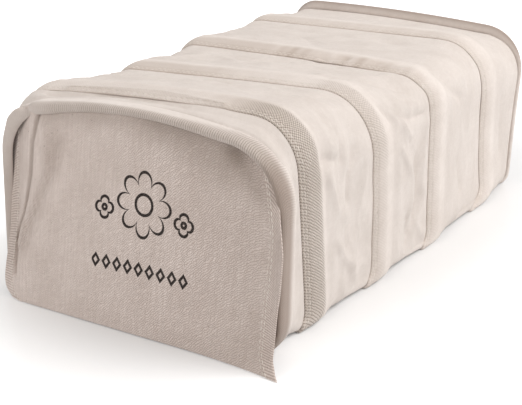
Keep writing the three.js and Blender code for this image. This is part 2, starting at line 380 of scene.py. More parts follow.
def shell(name, outer, thick, wrap, map_mm, marks=None):
    """A closed cloth piece from its outer face in mm, its thickness and its weave's coordinates.
    marks are values that its material reads, one for each point of the outer face."""
    rows, columns = outer.shape[:2]
    thick = np.broadcast_to(thick, (rows, columns))
    near = from_edges(run_along(outer, 0), 0)
    if not wrap:
        near = np.minimum(near, from_edges(run_along(outer, 1), 1))
    bulge = np.sqrt(1 - (1 - np.clip(near / (thick / 2), 0, 1)) ** 2)
    half = facing(outer, wrap) * (thick / 2)[..., None]
    middle = outer - half
    faces_of_cloth = [middle + half * bulge[..., None], middle - half * bulge[..., None]]
    points = np.concatenate([face.reshape(-1, 3) for face in faces_of_cloth])
    points[:, 2] = np.maximum(points[:, 2], 0)
    index = np.arange(rows * columns).reshape(rows, columns)
    inner = index + rows * columns
    inner[[0, -1]] = index[[0, -1]]
    if not wrap:
        inner[:, [0, -1]] = index[:, [0, -1]]
    used, index_map = np.unique(np.concatenate([index.ravel(), inner.ravel()]), return_inverse=True)
    points = points[used]
    index = index_map[: rows * columns].reshape(rows, columns)
    inner = index_map[rows * columns :].reshape(rows, columns)
    corners = [(0, 0), (1, 0), (1, 1), (0, 1)]
    last = columns if wrap else columns - 1
    r, c = np.meshgrid(np.arange(rows - 1), np.arange(last), indexing="ij")

    def quads(ids, turned):
        order = corners[::-1] if turned else corners
        return np.stack([ids[r + i, (c + j) % columns] for i, j in order], -1).reshape(-1, 4)

    def maps(turned):
        order = corners[::-1] if turned else corners
        return np.stack([map_mm[r + i, c + j] for i, j in order], -2).reshape(-1, 2)

    faces = np.concatenate([quads(index, False), quads(inner, True)])
    places = np.concatenate([maps(False), maps(True)])
    mesh = bpy.data.meshes.new(name)
    mesh.from_pydata(points * MM + np.array(PLACE), [], faces.tolist())
    mesh.uv_layers.new(name="weave").data.foreach_set("uv", (places / WEAVE_UNIT).ravel())
    for label, values in (marks or {}).items():
        both = np.concatenate([np.broadcast_to(values, (rows, columns)).ravel()] * 2)
        mesh.attributes.new(label, "FLOAT", "POINT").data.foreach_set("value", both[used])
    mesh.polygons.foreach_set("use_smooth", np.ones(len(faces), bool))
    piece = bpy.data.objects.new(name, mesh)
    bpy.context.scene.collection.objects.link(piece)
    return piece


def ring_map(grid):
    """Weave coordinates in mm for a grid that closes round the bag: across and along."""
    closed = np.concatenate([grid, grid[:, :1]], axis=1)
    across = run_along(closed, 1)
    across = across[:, [MIDDLE]] - across
    return np.stack([across, run_along(closed, 0)], -1)


print("shells are ready")

# %% [markdown]
# ## Creases
# Cloth that is stretched between hoops shows a few long soft ridges and troughs, and a fine crumple where
# it is slack. They could be sculpted, but a table can be read and changed, so the main creases are listed
# in one, each with its own width and height. A side's places are given as (back, up), and the top's as
# (across, back).

# %% Crease tables
CREASES = [
    # face, width, height, points
    ("right", 2.6, 0.9, [(71, 119), (79, 112), (78, 104), (74, 93)]),
    ("right", 2.6, -0.9, [(76, 108), (84, 98), (83, 86)]),
    ("right", 3.0, -0.9, [(60, 93), (75, 88)]),
    ("right", 2.6, -0.9, [(96, 87), (90, 75), (89, 61)]),
    ("right", 3.2, 0.8, [(64, 83), (72, 70), (76, 60)]),
    ("right", 4.5, 0.8, [(108, 50), (101, 38), (94, 23)]),
    ("right", 3.4, -0.8, [(87, 46), (84, 24)]),
    ("right", 2.8, 0.7, [(77, 42), (86, 30), (95, 22)]),
    ("right", 3.0, 0.5, [(110, 18), (98, 14)]),
    ("right", 2.2, 0.9, [(124, 113), (136, 101), (147, 90), (158, 80)]),
    ("right", 2.0, -0.9, [(128, 109), (137, 97)]),
    ("right", 2.4, -0.9, [(136, 101), (150, 93), (162, 90), (178, 89)]),
    ("right", 3.0, 0.5, [(158, 99), (172, 95)]),
    ("right", 3.0, 1.0, [(145, 76), (164, 53), (160, 28)]),
    ("right", 3.0, -0.8, [(170, 65), (172, 42), (171, 24)]),
    ("right", 3.0, 0.7, [(182, 82), (178, 60), (180, 42)]),
    ("right", 2.8, 0.6, [(172, 24), (184, 10)]),
    ("right", 2.8, -0.6, [(157, 30), (166, 16)]),
    ("right", 4.0, -0.8, [(221, 108), (227, 105)]),
    ("right", 4.0, -0.9, [(203, 108), (224, 92), (235, 86)]),
    ("right", 7.0, 1.0, [(239, 116), (245, 82)]),
    ("right", 4.5, -0.9, [(236, 43), (246, 23)]),
    ("right", 4.0, -0.5, [(270, 98), (274, 62)]),
    ("right", 6.0, -0.8, [(315, 66), (317, 29)]),
    ("top", 4.0, -0.8, [(20, 187), (33, 191)]),
    ("top", 4.0, -0.8, [(54, 194), (68, 196)]),
    ("top", 3.0, -0.5, [(-74, 271), (-12, 256), (40, 256)]),
    ("top", 3.0, -0.5, [(-26, 240), (1, 211)]),
    ("top", 2.0, -0.65, [(-70, 34), (-30, 38), (20, 36)]),
    ("top", 1.8, 0.6, [(-60, 42), (0, 45), (40, 42)]),
    ("top", 2.4, -0.75, [(-64, 86), (-20, 92), (10, 102)]),
    ("top", 2.4, 0.6, [(-50, 98), (0, 84), (44, 90)]),
    ("top", 2.6, -0.6, [(40, 74), (58, 88), (66, 104)]),
    ("top", 2.6, 0.6, [(52, 72), (68, 84), (74, 96)]),
    ("top", 3.5, -0.5, [(-66, 160), (-24, 163), (4, 168)]),
    ("top", 3.0, 0.6, [(44, 138), (66, 158), (70, 172)]),
    ("top", 3.0, -0.7, [(52, 134), (74, 150), (82, 166)]),
]
CREASE_HEIGHT = 2.5          # mm for a height of 1
FOLD_ROUND = 0.6             # how round the line of a crease is, in mm
TURNED_AWAY = (0.2, 0.8)     # a crease fades out where the cloth turns away from its face
FACES = {"right": (0, 1, (1, 2)), "top": (2, 1, (0, 1)), "front": (1, -1, (0, 2))}     # axis, sign, plane


def away_from(points, route):
    """Distance in a plane from each point to a route of straight runs."""
    nearest = np.full(len(points), np.inf)
    for start, end in zip(route[:-1], route[1:]):
        start, end = np.array(start, float), np.array(end, float)
        way = end - start
        t = np.clip(((points - start) @ way) / (way @ way), 0, 1)
        nearest = np.minimum(nearest, np.linalg.norm(points - start - t[:, None] * way, axis=1))
    return nearest


def creased(grid, table):
    """A grid with each crease of a table raised or sunk along the way that the cloth faces."""
    out = facing(grid, True)
    flat, ways = grid.reshape(-1, 3), out.reshape(-1, 3)
    lift = np.zeros(len(flat))
    for face, width, height, route in table:
        axis, sign, plane = FACES[face]
        shown = ease(sign * ways[:, axis], *TURNED_AWAY)
        away = np.hypot(away_from(flat[:, plane], route), FOLD_ROUND)
        lift += CREASE_HEIGHT * shown * height * np.exp((FOLD_ROUND - away) / width)
    return grid + out * lift.reshape(grid.shape[:2])[..., None]


print(len(CREASES), "creases on the rings")

# %% Crumple
# mm back, mm round the bag, layer of the noise, height in mm
BEND_WAVE = (40, 50, 3, 9)        # leads the sharp folds astray
SOFT_WAVE = (19, 42, 0, 1.2)
SHARP_WAVE = (17, 34, 7, 1.35)
FINE_WAVE = (6, 10, 11, 0.35)
ON_GROUND = (1, 12)               # mm up: pressed flat below the first, free above the second


def lumps(back, around, wave):
    """Noise from -1 to 1 with the lengths of a wave."""
    return noise.noise(Vector((back / wave[0], around / wave[1], wave[2])))


def crumple(grid, strength):
    """A grid with an uneven crumple that runs round the bag: long soft waves and short sharp ones."""
    out = facing(grid, True)
    around = run_along(grid, 1)
    lift = np.zeros(grid.shape[:2])
    for i, line in enumerate(grid):
        for j, point in enumerate(line):
            back, round_bag = point[1], around[i, j]
            bend = BEND_WAVE[-1] * lumps(back, round_bag, BEND_WAVE)
            soft = SOFT_WAVE[-1] * lumps(back, round_bag, SOFT_WAVE)
            sharp = SHARP_WAVE[-1] * (1 - 2 * abs(lumps(back + bend, round_bag + bend, SHARP_WAVE)))
            fine = FINE_WAVE[-1] * lumps(back, round_bag, FINE_WAVE)
            lift[i, j] = (soft + sharp + fine) * ease(point[2], *ON_GROUND)
    return grid + out * (lift * strength)[..., None]


print("crumple is ready")

# %% [markdown]
# ## Sections
# A section is a ring of canvas. It starts under the casing in front of it, comes out at the crest of
# that hoop, sinks as it goes back and ends under the next casing. Near a seam it is pulled flat,
# and between the seams it is slack enough to crumple. All five could be one long skin, but a ring
# of its own lets each be as slack as it is, and its ends slip under the tape as the real ones do.

# %% Section tables
CLOTH = 0.9        # mm thick
ROW_STEP = 1.5     # mm from row to row
# Tables over the share of the way from one hoop, or one edge of a casing, to the next.
CASING_LOW = ((0, 0.3, 0.65, 1), (1, 0.42, 0.1, 0))                # the share of a step left over a casing
SINK_LOW = ((0, 0.35, 0.7, 1), (0, 0.6, 1.15, 1))                  # and the share sunk between two
SINK_LIFT = ((0, 0.15, 0.5, 0.85, 1), (0, 1.4, 1.5, 1.0, 0.5))     # off the ground
SLACK_FOOT = ((0, 0.15, 0.5, 0.85, 1), (0, 2, 0.5, 0.6, 0.8))      # rounder bottom corners
SLACK_LEFT = {1: -3.4, 2: 1.6, 3: 2.4, 4: 2.0, 5: 1.2}             # sinks more at the left shoulder
SLACK_WAY = np.array([0.6, -0.8])                                  # inwards and down
SLACK_EVEN = 0.7                           # under 1, a shoulder sinks more evenly along a section
LEFT_SHOULDER = (55, 80, 100, 125)         # mm left of the top's middle: from, full, still full, to
RIM_LAP = {"front": 0.3, "rear": 0.5}      # mm between a rim and the section's edge
COMES_OUT = 11             # mm behind a casing's near edge, where the section under it starts to rise
RIM_PRESS = (4.5, 8.5)     # mm behind the front rim: pressed down up to the first, free after the second
EDGE_PRESS = 0.35          # mm more that cloth is pressed down just in front of a casing
EDGE_REACH = (0.1, 1.6)    # mm in front of it: fully pressed, and free
PULLED_FLAT = 9            # mm from a seam, where the cloth is slack enough to crumple
JOIN_GAP = 0.3             # mm between two sections under a casing
# mm behind the rear hoop, and how much deeper the last rows lie at the sides and on top
REAR_END = ((-4, -2.6, -1.2, 0.3), (0, 0.1, 0.15, 0.2), (0, 0.7, 1.7, 2.1))
print("the cloth sinks by up to", max(SINK_LOW[1]), "of a step between two hoops")

# %% Section rows
def steps_between(start, end, step):
    """Even places from start to end, about a step apart."""
    return np.linspace(start, end, max(2, round((end - start) / step) + 1))


def section_grid(number):
    """The outer face of a section, and how slack the cloth is in each row."""
    hoop, following = HOOPS[number - 1], HOOPS[number]
    stray, next_stray = STRAY[number - 1], STRAY[number]
    is_first, is_last = number == 1, number == len(HOOPS) - 1
    start = hoop["at"] + (RIM_DEPTH["front"] / 2 + RIM_LAP["front"] if is_first else CASING_WIDTH)
    end = following["at"] - (RIM_DEPTH["rear"] / 2 + RIM_LAP["rear"] if is_last else 0)
    rows, slack = [], []
    if not is_first:
        for back in steps_between(JOIN * CASING_WIDTH, CASING_WIDTH, ROW_STEP)[:-1]:
            low = flowing(*CASING_LOW, back / CASING_WIDTH)
            cover = UNDER - (UNDER - COVER) * ease(back, COMES_OUT, CASING_WIDTH)
            side, top = low * hoop["step_side"] + cover, low * hoop["step_top"] + cover
            rows.append(row(hoop, hoop["at"] + back, side, top, cover, stray))
            slack.append(0.0)
    for along in steps_between(0, 1, ROW_STEP / (end - start)):
        at = start + (end - start) * along
        low, lift = flowing(*SINK_LOW, along), flowing(*SINK_LIFT, along)
        cover = COVER + EDGE_PRESS * (1 - ease(end - at, *EDGE_REACH))
        if is_first:
            cover += (UNDER - COVER) * (1 - ease(at - start, *RIM_PRESS))
        side, top = low * following["step_side"] + cover, low * following["step_top"] + cover
        shift = stray * (1 - along) ** 2 + next_stray * along**2
        here = between(hoop, following, along)
        here["foot"] += flowing(*SLACK_FOOT, along)
        line = row(here, at, side, top, lift + cover, shift)
        leftward = -across_of(outline(here))
        at_shoulder = ease(leftward, *LEFT_SHOULDER[:2]) * (1 - ease(leftward, *LEFT_SHOULDER[2:]))
        sunk = SLACK_LEFT[number] * math.sin(math.pi * along) ** SLACK_EVEN * at_shoulder
        line[:, [0, 2]] += sunk[:, None] * SLACK_WAY
        rows.append(line)
        slack.append(ease(at - start, 0, PULLED_FLAT) * ease(end - at, 0, PULLED_FLAT))
    tucked = dict(following, foot=following["foot"] + SLACK_FOOT[1][-1])
    side, top = following["step_side"] + UNDER, following["step_top"] + UNDER
    base = SINK_LIFT[1][-1] + UNDER
    if is_last:
        ends = zip(*REAR_END)
    else:
        ends = [(back, 0, 0) for back in steps_between(0, JOIN * CASING_WIDTH - JOIN_GAP, ROW_STEP)[1:]]
    for back, more_side, more_top in ends:
        at = following["at"] + back
        rows.append(row(tucked, at, side + more_side, top + more_top, base, next_stray))
        slack.append(0.0)
    return np.array(rows), np.array(slack)


print("rows in the second section:", len(section_grid(2)[0]))

# %% Sections
CRUMPLE = {1: 0.35, 2: 0.95, 3: 0.95, 4: 0.6, 5: 0.35}     # how strong it is in each section
CRUMPLE_LEAST = 0.05                                       # even where the cloth is pulled flat
sections = []
for number in range(1, len(HOOPS)):
    grid, slack = section_grid(number)
    grid = creased(grid, CREASES)
    grid = crumple(grid, CRUMPLE[number] * slack[:, None] + CRUMPLE_LEAST)
    sections.append(shell(f"canvas_ring_{number}", grid, CLOTH, True, ring_map(grid)))
print("sections:", [len(piece.data.polygons) for piece in sections], "faces")

# %% [markdown]
# ## Casings
# A casing is a strip of coarse tape, sewn over a hoop with two rows of stitches behind its near edge.
# That edge is folded in and stands proud of the section in front of it, with a thin dark gap, and
# the far edge is pressed thin and runs out into the next section. It could be a raised band of the
# sections, but a strip of its own has the edges and the gap of real tape.

# %% How the tape looks round the bag
# The open weave is the tape's own look. The shade tables from SHADE on are painted shade on the tape.
OPEN_WEAVE = {1: 16, 2: 12, 3: 11, 4: 11}            # mm back that each casing's open weave shows
OPEN_SHOWS = {1: 1.0, 2: 0.45, 3: 0.12, 4: 0.10}     # and how plainly
OPEN_LEAST = 0.10                                    # the share of that where it isn't pulled open
OPEN_FROM = (48, 74)                                 # mm right of the top's middle, at the shoulder
OPEN_CLOSES = (110, 135)                             # farther down, the second casing closes again
OPEN_CLOSED = 0.75                                   # by this share
SHADE = {1: 15, 2: 10, 3: 10, 4: 9}                  # mm back that painted shade darkens the tape at the sides
SHADE_MORE = 5                                       # and more than that over the top
TOP_ENDS = (55, 90)                                  # mm from the top's middle
SHADE_ROUND = {     # how dark the painted shade on the tape is, from the left foot over the top to the right foot
    1: ((-200, -90, -60, 30, 60, 90, 200), (0.6, 0.6, 0.3, 0.3, 0.9, 0.7, 0.4)),
    2: ((-200, -90, -20, 20, 60, 100, 200), (1, 1, 0.9, 0.15, 0.15, 0.35, 0.4)),
    3: ((-200, -90, -20, 20, 60, 100, 200), (0.9, 0.9, 0.95, 1.1, 1.0, 0.35, 0.3)),
    4: ((-200, -60, -20, 20, 60, 100, 200), (0.8, 0.8, 0.6, 0.6, 0.5, 0.3, 0.3)),
}
PUCKERS = {1: 0.15, 2: 0.3, 3: 0.6, 4: 0.3}          # how deep each casing puckers, in mm
PUCKER_FROM = (-40, 10)                              # only on the right half
PUCKER_WAVE = (5.5, 3.1, 2)     # mm round the bag, what keeps the casings apart, layer of the noise
PUCKER_SHADE = 1.6               # how much darker or paler the painted shade is for each mm of a pucker
PUCKER_SHADE_MOST = 1.5               # but no darker than this many times


def puckers(number, across):
    """The ups and downs of the tape round the bag, where it is gathered by its stitches."""
    length, apart, layer = PUCKER_WAVE
    wave = [noise.noise(Vector((s / length, number * apart, layer))) for s in across]
    return PUCKERS[number] * ease(across, *PUCKER_FROM) * np.array(wave)


def shade_round(number, across):
    """How dark the painted shade on the tape is round the bag, darker or paler where it puckers."""
    pucker_shade = np.clip(1 + PUCKER_SHADE * puckers(number, across), 0, PUCKER_SHADE_MOST)
    return flowing(*SHADE_ROUND[number], across) * pucker_shade


def shade_reach(number, across):
    """How far back the painted shade reaches on the tape, round the bag."""
    return SHADE[number] + SHADE_MORE * (1 - ease(np.abs(across), *TOP_ENDS))


def open_round(number, across):
    """How open the tape's weave looks round the bag: pulled open at the shoulder and the side."""
    pulled = ease(across, *OPEN_FROM)
    if number == 2:
        pulled = pulled * (1 - OPEN_CLOSED * ease(across, *OPEN_CLOSES))
    return OPEN_SHOWS[number] * (OPEN_LEAST + (1 - OPEN_LEAST) * pulled)


print("deepest puckers:", max(PUCKERS.values()), "mm")

# %% Casings
TAPE = 1.2                      # mm thick
TAPE_ROW = 0.45                 # mm from row to row
# How far back and how deep the rows of the near edge lie, from the fold's inside out.
TURN_IN = np.array([(0.7, 1.3), (0.3, 1.1), (0.05, 0.75), (0, 0.35), (0.2, 0.1), (0.55, 0)])
TURN_ROUND = 1.6                # how many times as deep it is folded in along the ground
TURN_THIN = 0.75                # mm less cloth where the near edge turns in
FAR_ROWS = (0.6, 0.35, 0.12, 0)     # mm from the far edge
FAR_PRESS = (7, 0.3)            # mm from the far edge where the tape starts to sink, and how far
FAR_THIN = (8, 0.9)             # the same for its thickness
STITCH_ROWS = (0.9, 2.7)        # mm behind the near edge
STITCH_SINK = 0.25              # mm that a row of stitches sinks the tape
STITCH_REACH = 0.5              # mm either way
PUCKER_MIDDLE = (7, 4)          # mm behind the near edge, and how far a pucker reaches
PUCKER_START = 1                # mm behind the near edge, so that the fold stays even
OPEN_SOFT = 3                   # mm over which the open weave closes
SHADE_SOFT = (-6, 2)            # mm from where it ends, over which the shade fades
CASING_CRUMPLE = 0.05           # how strong it is over a hoop


def casing_grid(number):
    """The outer face of the casing over a hoop, and its thickness in each row."""
    hoop, stray = HOOPS[number], STRAY[number]
    even = np.arange(STITCH_ROWS[0], CASING_WIDTH - FAR_ROWS[0], TAPE_ROW)
    backs = np.concatenate([TURN_IN[:, 0], even, CASING_WIDTH - np.array(FAR_ROWS)])
    turned = np.zeros(len(backs))
    turned[: len(TURN_IN)] = TURN_IN[:, 1]
    rows = []
    for back, fold in zip(backs, turned):
        low = flowing(*CASING_LOW, back / CASING_WIDTH)
        pressed = sum(np.exp(-(((back - at) / STITCH_REACH) ** 2)) for at in STITCH_ROWS) * STITCH_SINK
        sunk = pressed + fold + FAR_PRESS[1] * ease(back, CASING_WIDTH - FAR_PRESS[0], CASING_WIDTH)
        side, top = low * hoop["step_side"] + sunk, low * hoop["step_top"] + sunk
        rows.append(row(hoop, hoop["at"] + back, side, top, TURN_ROUND * fold, stray))
    thick = TAPE - FAR_THIN[1] * ease(backs, CASING_WIDTH - FAR_THIN[0], CASING_WIDTH)
    thick -= TURN_THIN * (turned > 0)
    return np.array(rows), thick[:, None], backs


casings, casing_grids = [], []
for number in range(1, len(HOOPS) - 1):
    grid, thick, backs = casing_grid(number)
    grid = crumple(creased(grid, CREASES), CASING_CRUMPLE)
    across = across_of(outline(HOOPS[number]))
    gathered = puckers(number, across) * ease(grid[0, :, 2], *ON_GROUND)
    sunk = np.outer(np.exp(-(((backs - PUCKER_MIDDLE[0]) / PUCKER_MIDDLE[1]) ** 2)), gathered)
    grid = grid - facing(grid, True) * np.where(backs[:, None] > PUCKER_START, sunk, 0)[..., None]
    opened = 1 - ease(backs, OPEN_WEAVE[number] - OPEN_SOFT, OPEN_WEAVE[number])
    # painted shade: the tape's colour darkens behind its near edge and round its puckers
    dark = 1 - ease(backs[:, None] - shade_reach(number, across), *SHADE_SOFT)
    marks = {
        "coarse": np.outer(opened, open_round(number, across)),
        "tape": dark * shade_round(number, across),
    }
    casings.append(shell(f"tape_casing_{number}", grid, thick, True, ring_map(grid), marks))
    casing_grids.append((grid, backs))
print("casings:", [len(piece.data.polygons) for piece in casings], "faces")

# %% [markdown]
# ## Rims
# The mouth's rim is the end of the cloth rolled forward over a hoop, so it comes off the first
# section with no step, goes over the hoop and turns in under itself. The rear rim is a tape rolled
# round its hoop. A tube along a curve would be simpler, but it has no thickness of cloth and no end
# that lies flat. So each is one strip bent round, with its open side hidden inside.

# %% Rolled strips
RIM_CLOTH = 1.0                                        # mm thick
# Places round a roll, from its inner side (-90) over its front (0) to its outer side (90) and on.
FRONT_TURNS = np.radians(np.linspace(-58, 86, 22))
REAR_TURNS = np.radians(np.linspace(-66, 236, 30))
# How thick and how deep each roll is, over the mm round the bag from the top's middle.
FRONT_ROLL = ((-300, -160, -124, -106, -92, -76, -57, -40, -15, 16, 48, 72, 96, 120, 160, 300),
              (7.8, 8.4, 8.6, 9.2, 9.4, 8.8, 7.6, 6.6, 5.4, 4.8, 5.4, 5.2, 4.6, 4.2, 3.8, 3.8))
FRONT_DEEP = ((-300, 0, 50, 75, 100, 120, 300), (8, 8, 8, 9.5, 9.5, 8, 7))
REAR_ROLL = ((-300, -110, -85, 0, 85, 110, 300), (2, 3.6, 8, 8, 8, 3.6, 2))
REAR_DEEP = ((-300, -110, -85, 0, 85, 110, 300), (3.5, 4, 7, 7, 7, 4, 3.5))
ROLL_FOLDS = [
    # face, width, height, points
    ("front", 1.7, -0.9, [(-74, 110), (-67, 104)]),
    ("top", 1.8, -0.5, [(-73, 11), (-70, 22)]),
    ("front", 4.0, 0.7, [(-84, 100), (-79, 105)]),
    ("front", 3.4, 0.5, [(-63, 109), (-52, 110)]),
]
TAIL_BACK = np.array([1, 2, 3.5, 5, 6.5, 8, 9.4, 9.8, 10])     # mm that the front strip lies back
TAIL_LOW = ((0, 4, 10), (0, 0.2, 0.95))                        # and how deep it lies there


def rim_grid(hoop, deep, roll, turns, tail=()):
    """The outer face of a strip rolled round a hoop, with a tail that lies back over the cloth."""
    across = across_of(outline(hoop))
    thick, half_deep = flowing(*roll, across), flowing(*deep, across) / 2
    rows = []
    for turn in turns:
        inward = (1 - math.sin(turn)) / 2 * thick
        rows.append(row(hoop, hoop["at"], inward, inward, inward, -half_deep * math.cos(turn)))
    for back in tail:
        low = float(flowing(*TAIL_LOW, back))
        rows.append(row(hoop, hoop["at"] + back, low, low, low))
    return np.array(rows)


print("front roll:", min(FRONT_ROLL[1]), "to", max(FRONT_ROLL[1]), "mm thick")

# %% Rims
TAIL_THIN = (7, 0.7)            # mm back where the strip's tail is thinnest, and how much thinner
RIBS_BACK = 3                   # rows before the end of the roll where the ribs end
RIBS_SOFT = (-6, 6)             # rows over which they end
# Over the mm round the bag: how many rows farther the ribs reach, how plainly they show, how many rows past
# the roll the painted shade reaches, and how dark the roll's painted shade is.
RIBS_END = ((-300, 30, 70, 105, 135, 300), (0, 0, 7, 7, 0, 0))
RIBS_SHOW = ((-300, -62, -46, 20, 85, 105, 300), (0.15, 0.15, 0.9, 1, 1, 0.9, 0.1))
ROLL_SHADE_END = ((-300, 20, 60, 88, 104, 300), (-6, -6, -1, 0, 1, 1))
ROLL_SHADE_ROUND = ((-300, -125, -95, 10, 45, 74, 94, 125, 300),
           (0.6, 0.55, 0.35, 0.4, 0.38, 0.42, 0.9, 1, 0.9))
ROLL_SHADE_SOFT = 6                  # rows over which the painted shade ends
REAR_TOP = (95, 125)            # mm from the top's middle where the rear roll's painted shade ends
REAR_OVER = (-5, 85)            # degrees round it, where its front goes over into its outer side
REAR_SHADE = (-0.5, 1.6)        # how dark the painted shade on its front is, from -1 to 1, and how much darker the rest is
REAR_PALE = 0.8                 # its sides are at minus this

front_grid = rim_grid(HOOPS[0], FRONT_DEEP, FRONT_ROLL, FRONT_TURNS, TAIL_BACK)
front_grid = creased(front_grid, ROLL_FOLDS)
tail = RIM_CLOTH - TAIL_THIN[1] * ease(TAIL_BACK, 0, TAIL_THIN[0])
thick = np.concatenate([np.full(len(FRONT_TURNS), RIM_CLOTH), tail])
across = across_of(outline(HOOPS[0]))
past_roll = np.arange(len(front_grid))[:, None] - len(FRONT_TURNS)
ribbed = 1 - ease(past_roll + RIBS_BACK - flowing(*RIBS_END, across), *RIBS_SOFT)
shaded_rows = 1 - ease(past_roll - flowing(*ROLL_SHADE_END, across), 0, ROLL_SHADE_SOFT)
# the second mark is painted shade on the front roll, darkest on its right side and lighter over the top
marks = {
    "ribbed": ribbed * flowing(*RIBS_SHOW, across),
    "roll_shade": 2 * shaded_rows * flowing(*ROLL_SHADE_ROUND, across) - 1,
}
front_rim = shell("front_roll", front_grid, thick[:, None], True, ring_map(front_grid), marks)

rear_grid = rim_grid(HOOPS[-1], REAR_DEEP, REAR_ROLL, REAR_TURNS)
top_part = 1 - ease(np.abs(across_of(outline(HOOPS[-1]))), *REAR_TOP)
over = ease(REAR_TURNS, *np.radians(REAR_OVER))
# painted shade on the rear roll: light on its front, dark over its top and back, little at the sides
roll_shade = np.outer(REAR_SHADE[0] + REAR_SHADE[1] * over, top_part) - REAR_PALE * (1 - top_part)
marks = {"ribbed": np.zeros((1, 1)), "roll_shade": roll_shade}
rear_rim = shell("rear_roll", rear_grid, RIM_CLOTH, True, ring_map(rear_grid), marks)
rims = [front_rim, rear_rim]
print("rims:", [len(piece.data.polygons) for piece in rims], "faces")

# %% [markdown]
# ## Back panel
# The back end is closed with one plain piece of canvas inside the rear rim. It hangs a little
# slack, so its middle sinks in and soft folds cross it. A flat grid cut to the rim would have a
# ragged edge, so a square net is drawn out until its edge follows the rim.

# %% Back panel
PANEL_ACROSS, PANEL_UP = 64, 40     # places in the net
PANEL_MIDDLE = 55                   # mm up
PANEL_INSET = (3.2, 8.3, 3.2)       # mm inside the hoop at the sides, the top and the base
PANEL_BACK = 1.2                    # mm behind the hoop's plane at the edge
PANEL_BULGE = 4.0                   # mm that its middle hangs in front of its edge
PANEL_EDGE = 0.5                    # the slack grows from the edge up to here, where 1 is the middle
CORNER_PULL = 5                     # how soon the pull of a swept corner dies away inwards
BROAD_FOLD = (30, 36, 5, 1.3)       # mm across, mm up, layer of the noise, height
FINE_FOLD = (22, 26, 8, 0.8)
FINE_SLANT = 60                     # mm up in which a fine fold goes a fold's width across


def panel_grid():
    """The rear face of the panel, a net of squares drawn out to the rear rim, and its slack."""
    hoop = HOOPS[-1]
    rim = row(hoop, hoop["at"], *PANEL_INSET)
    middle = np.array([0, hoop["at"] + hoop["lean"] * PANEL_MIDDLE, PANEL_MIDDLE])
    wide, tall = np.ptp(rim[:, 0]), np.ptp(rim[:, 2])
    round_rim = np.arctan2((rim[:, 2] - PANEL_MIDDLE) / tall, rim[:, 0] / wide)
    u, v = np.meshgrid(np.linspace(-1, 1, PANEL_ACROSS), np.linspace(-1, 1, PANEL_UP))
    turn = np.arctan2(v, u)
    edge = np.stack([np.interp(turn, round_rim, rim[:, k], period=2 * math.pi) for k in range(3)], -1)
    share = np.maximum(np.abs(u), np.abs(v))[..., None]
    grid = middle + (edge - middle) * share
    swept = edge[..., 1] - hoop["at"] - hoop["lean"] * edge[..., 2]
    grid[..., 1] = hoop["at"] + hoop["lean"] * grid[..., 2] + swept * share[..., 0] ** CORNER_PULL
    slack = ease((1 - u**2) * (1 - v**2), 0, PANEL_EDGE)
    grid[..., 1] -= PANEL_BULGE * slack - PANEL_BACK
    return grid, slack


grid, slack = panel_grid()
for i, line in enumerate(grid):
    for j, point in enumerate(line):
        broad = BROAD_FOLD[-1] * lumps(point[0], point[2], BROAD_FOLD)
        slanted = point[0] + point[2] * FINE_FOLD[0] / FINE_SLANT
        fine = FINE_FOLD[-1] * (1 - 2 * abs(lumps(slanted, point[2], FINE_FOLD)))
        grid[i, j, 1] += (broad + fine) * slack[i, j]
back_panel = shell("rear_canvas", grid, CLOTH, False, grid[..., [0, 2]])
print("back panel:", len(back_panel.data.polygons), "faces")

# %% [markdown]
# ## Flap
# The flap hangs from the front rim. Its left strip turns back at a crease, its right edge is free
# and hangs forward, and both sides have a hem: two layers of cloth held by stitches. A simulation
# would find folds of its own, so the front face is drawn row by row from tables of its edges, and
# each fold is pressed in or raised along its line.

# %% Flap tables
FLAP_CLOTH = 0.9       # mm thick
HEM_CLOTH = 0.6        # mm more where it is folded over
HEM_PROUD = 0.5        # mm of that which stands out to the front
LEFT_HEM = 8.7         # mm wide
RIGHT_HEM = 7.7
HEM_EDGE = 0.6         # mm over which a hem ends
FLAP_SLOPE = 0.165     # mm back for each mm up
FLAP_FOOT = 0.4        # mm off the ground
FLAP_FULL = 110        # the mark in the tables for the flap's top
FLAP_TURN = 0.35       # how steeply the left strip turns back
TURN_SOFT = 2          # mm over which it turns
FLAP_SPREAD = 65       # mm over which the right side comes forward
# At each mark on the way up: the left edge, the crease and the right edge, in mm across, and how far
# the right edge stands forward.
FLAP_TALL = (0, 3, 6, 12, 32, 43, 55, 78, 92, 103, 110)
FLAP_LEFT = (-78, -83, -85.5, -86.8, -85, -84.2, -84.4, -86.6, -87.2, -86.2, -83)
FLAP_CREASE = (-71, -72, -72.5, -72, -70, -68.5, -68, -67, -67, -68, -70)
FLAP_RIGHT = (97.5, 95.5, 94, 92.3, 92.2, 92.4, 93, 93.2, 90, 85, 80)
FLAP_FRONT = (4.5, 3.2, 2, 1, 0.5, 0.7, 1, 1.6, 0.6, 0, 0)
# The height of the top edge, over the mm across.
FLAP_TOP = ((-86, -82, -76, -65, -30, 0, 35, 60, 70, 78, 84, 89, 93),
            (99, 103, 107, 109, 112, 113.4, 112, 109, 106, 102, 97, 90, 82))
FLAP_FOLDS = [
    # width, height toward the front, points as (across, up)
    (1.1, -1.6, [(-62, 107), (-66.5, 91), (-67, 72), (-70.5, 51),
                 (-74, 42), (-76, 35), (-76, 26), (-76.5, 14)]),
    (3.4, 2.2, [(-57.5, 100), (-56, 76), (-63.5, 58), (-71, 44), (-73, 33)]),
    (5.5, -2.4, [(-47, 92), (-51, 77), (-62.5, 51), (-69, 33)]),
    (9, 1.0, [(-30, 96), (-38, 70), (-56, 44), (-64, 26)]),
    (14, -1.6, [(62, 104), (34, 108)]),
    (6, -1.8, [(60, 110), (74, 105), (86, 100)]),
    (12, 0.9, [(66, 84), (20, 92), (-10, 100)]),
    (8, -0.7, [(40, 16), (70, 40), (80, 70)]),
    (7, 0.6, [(-30, 12), (10, 8), (50, 12)]),
]
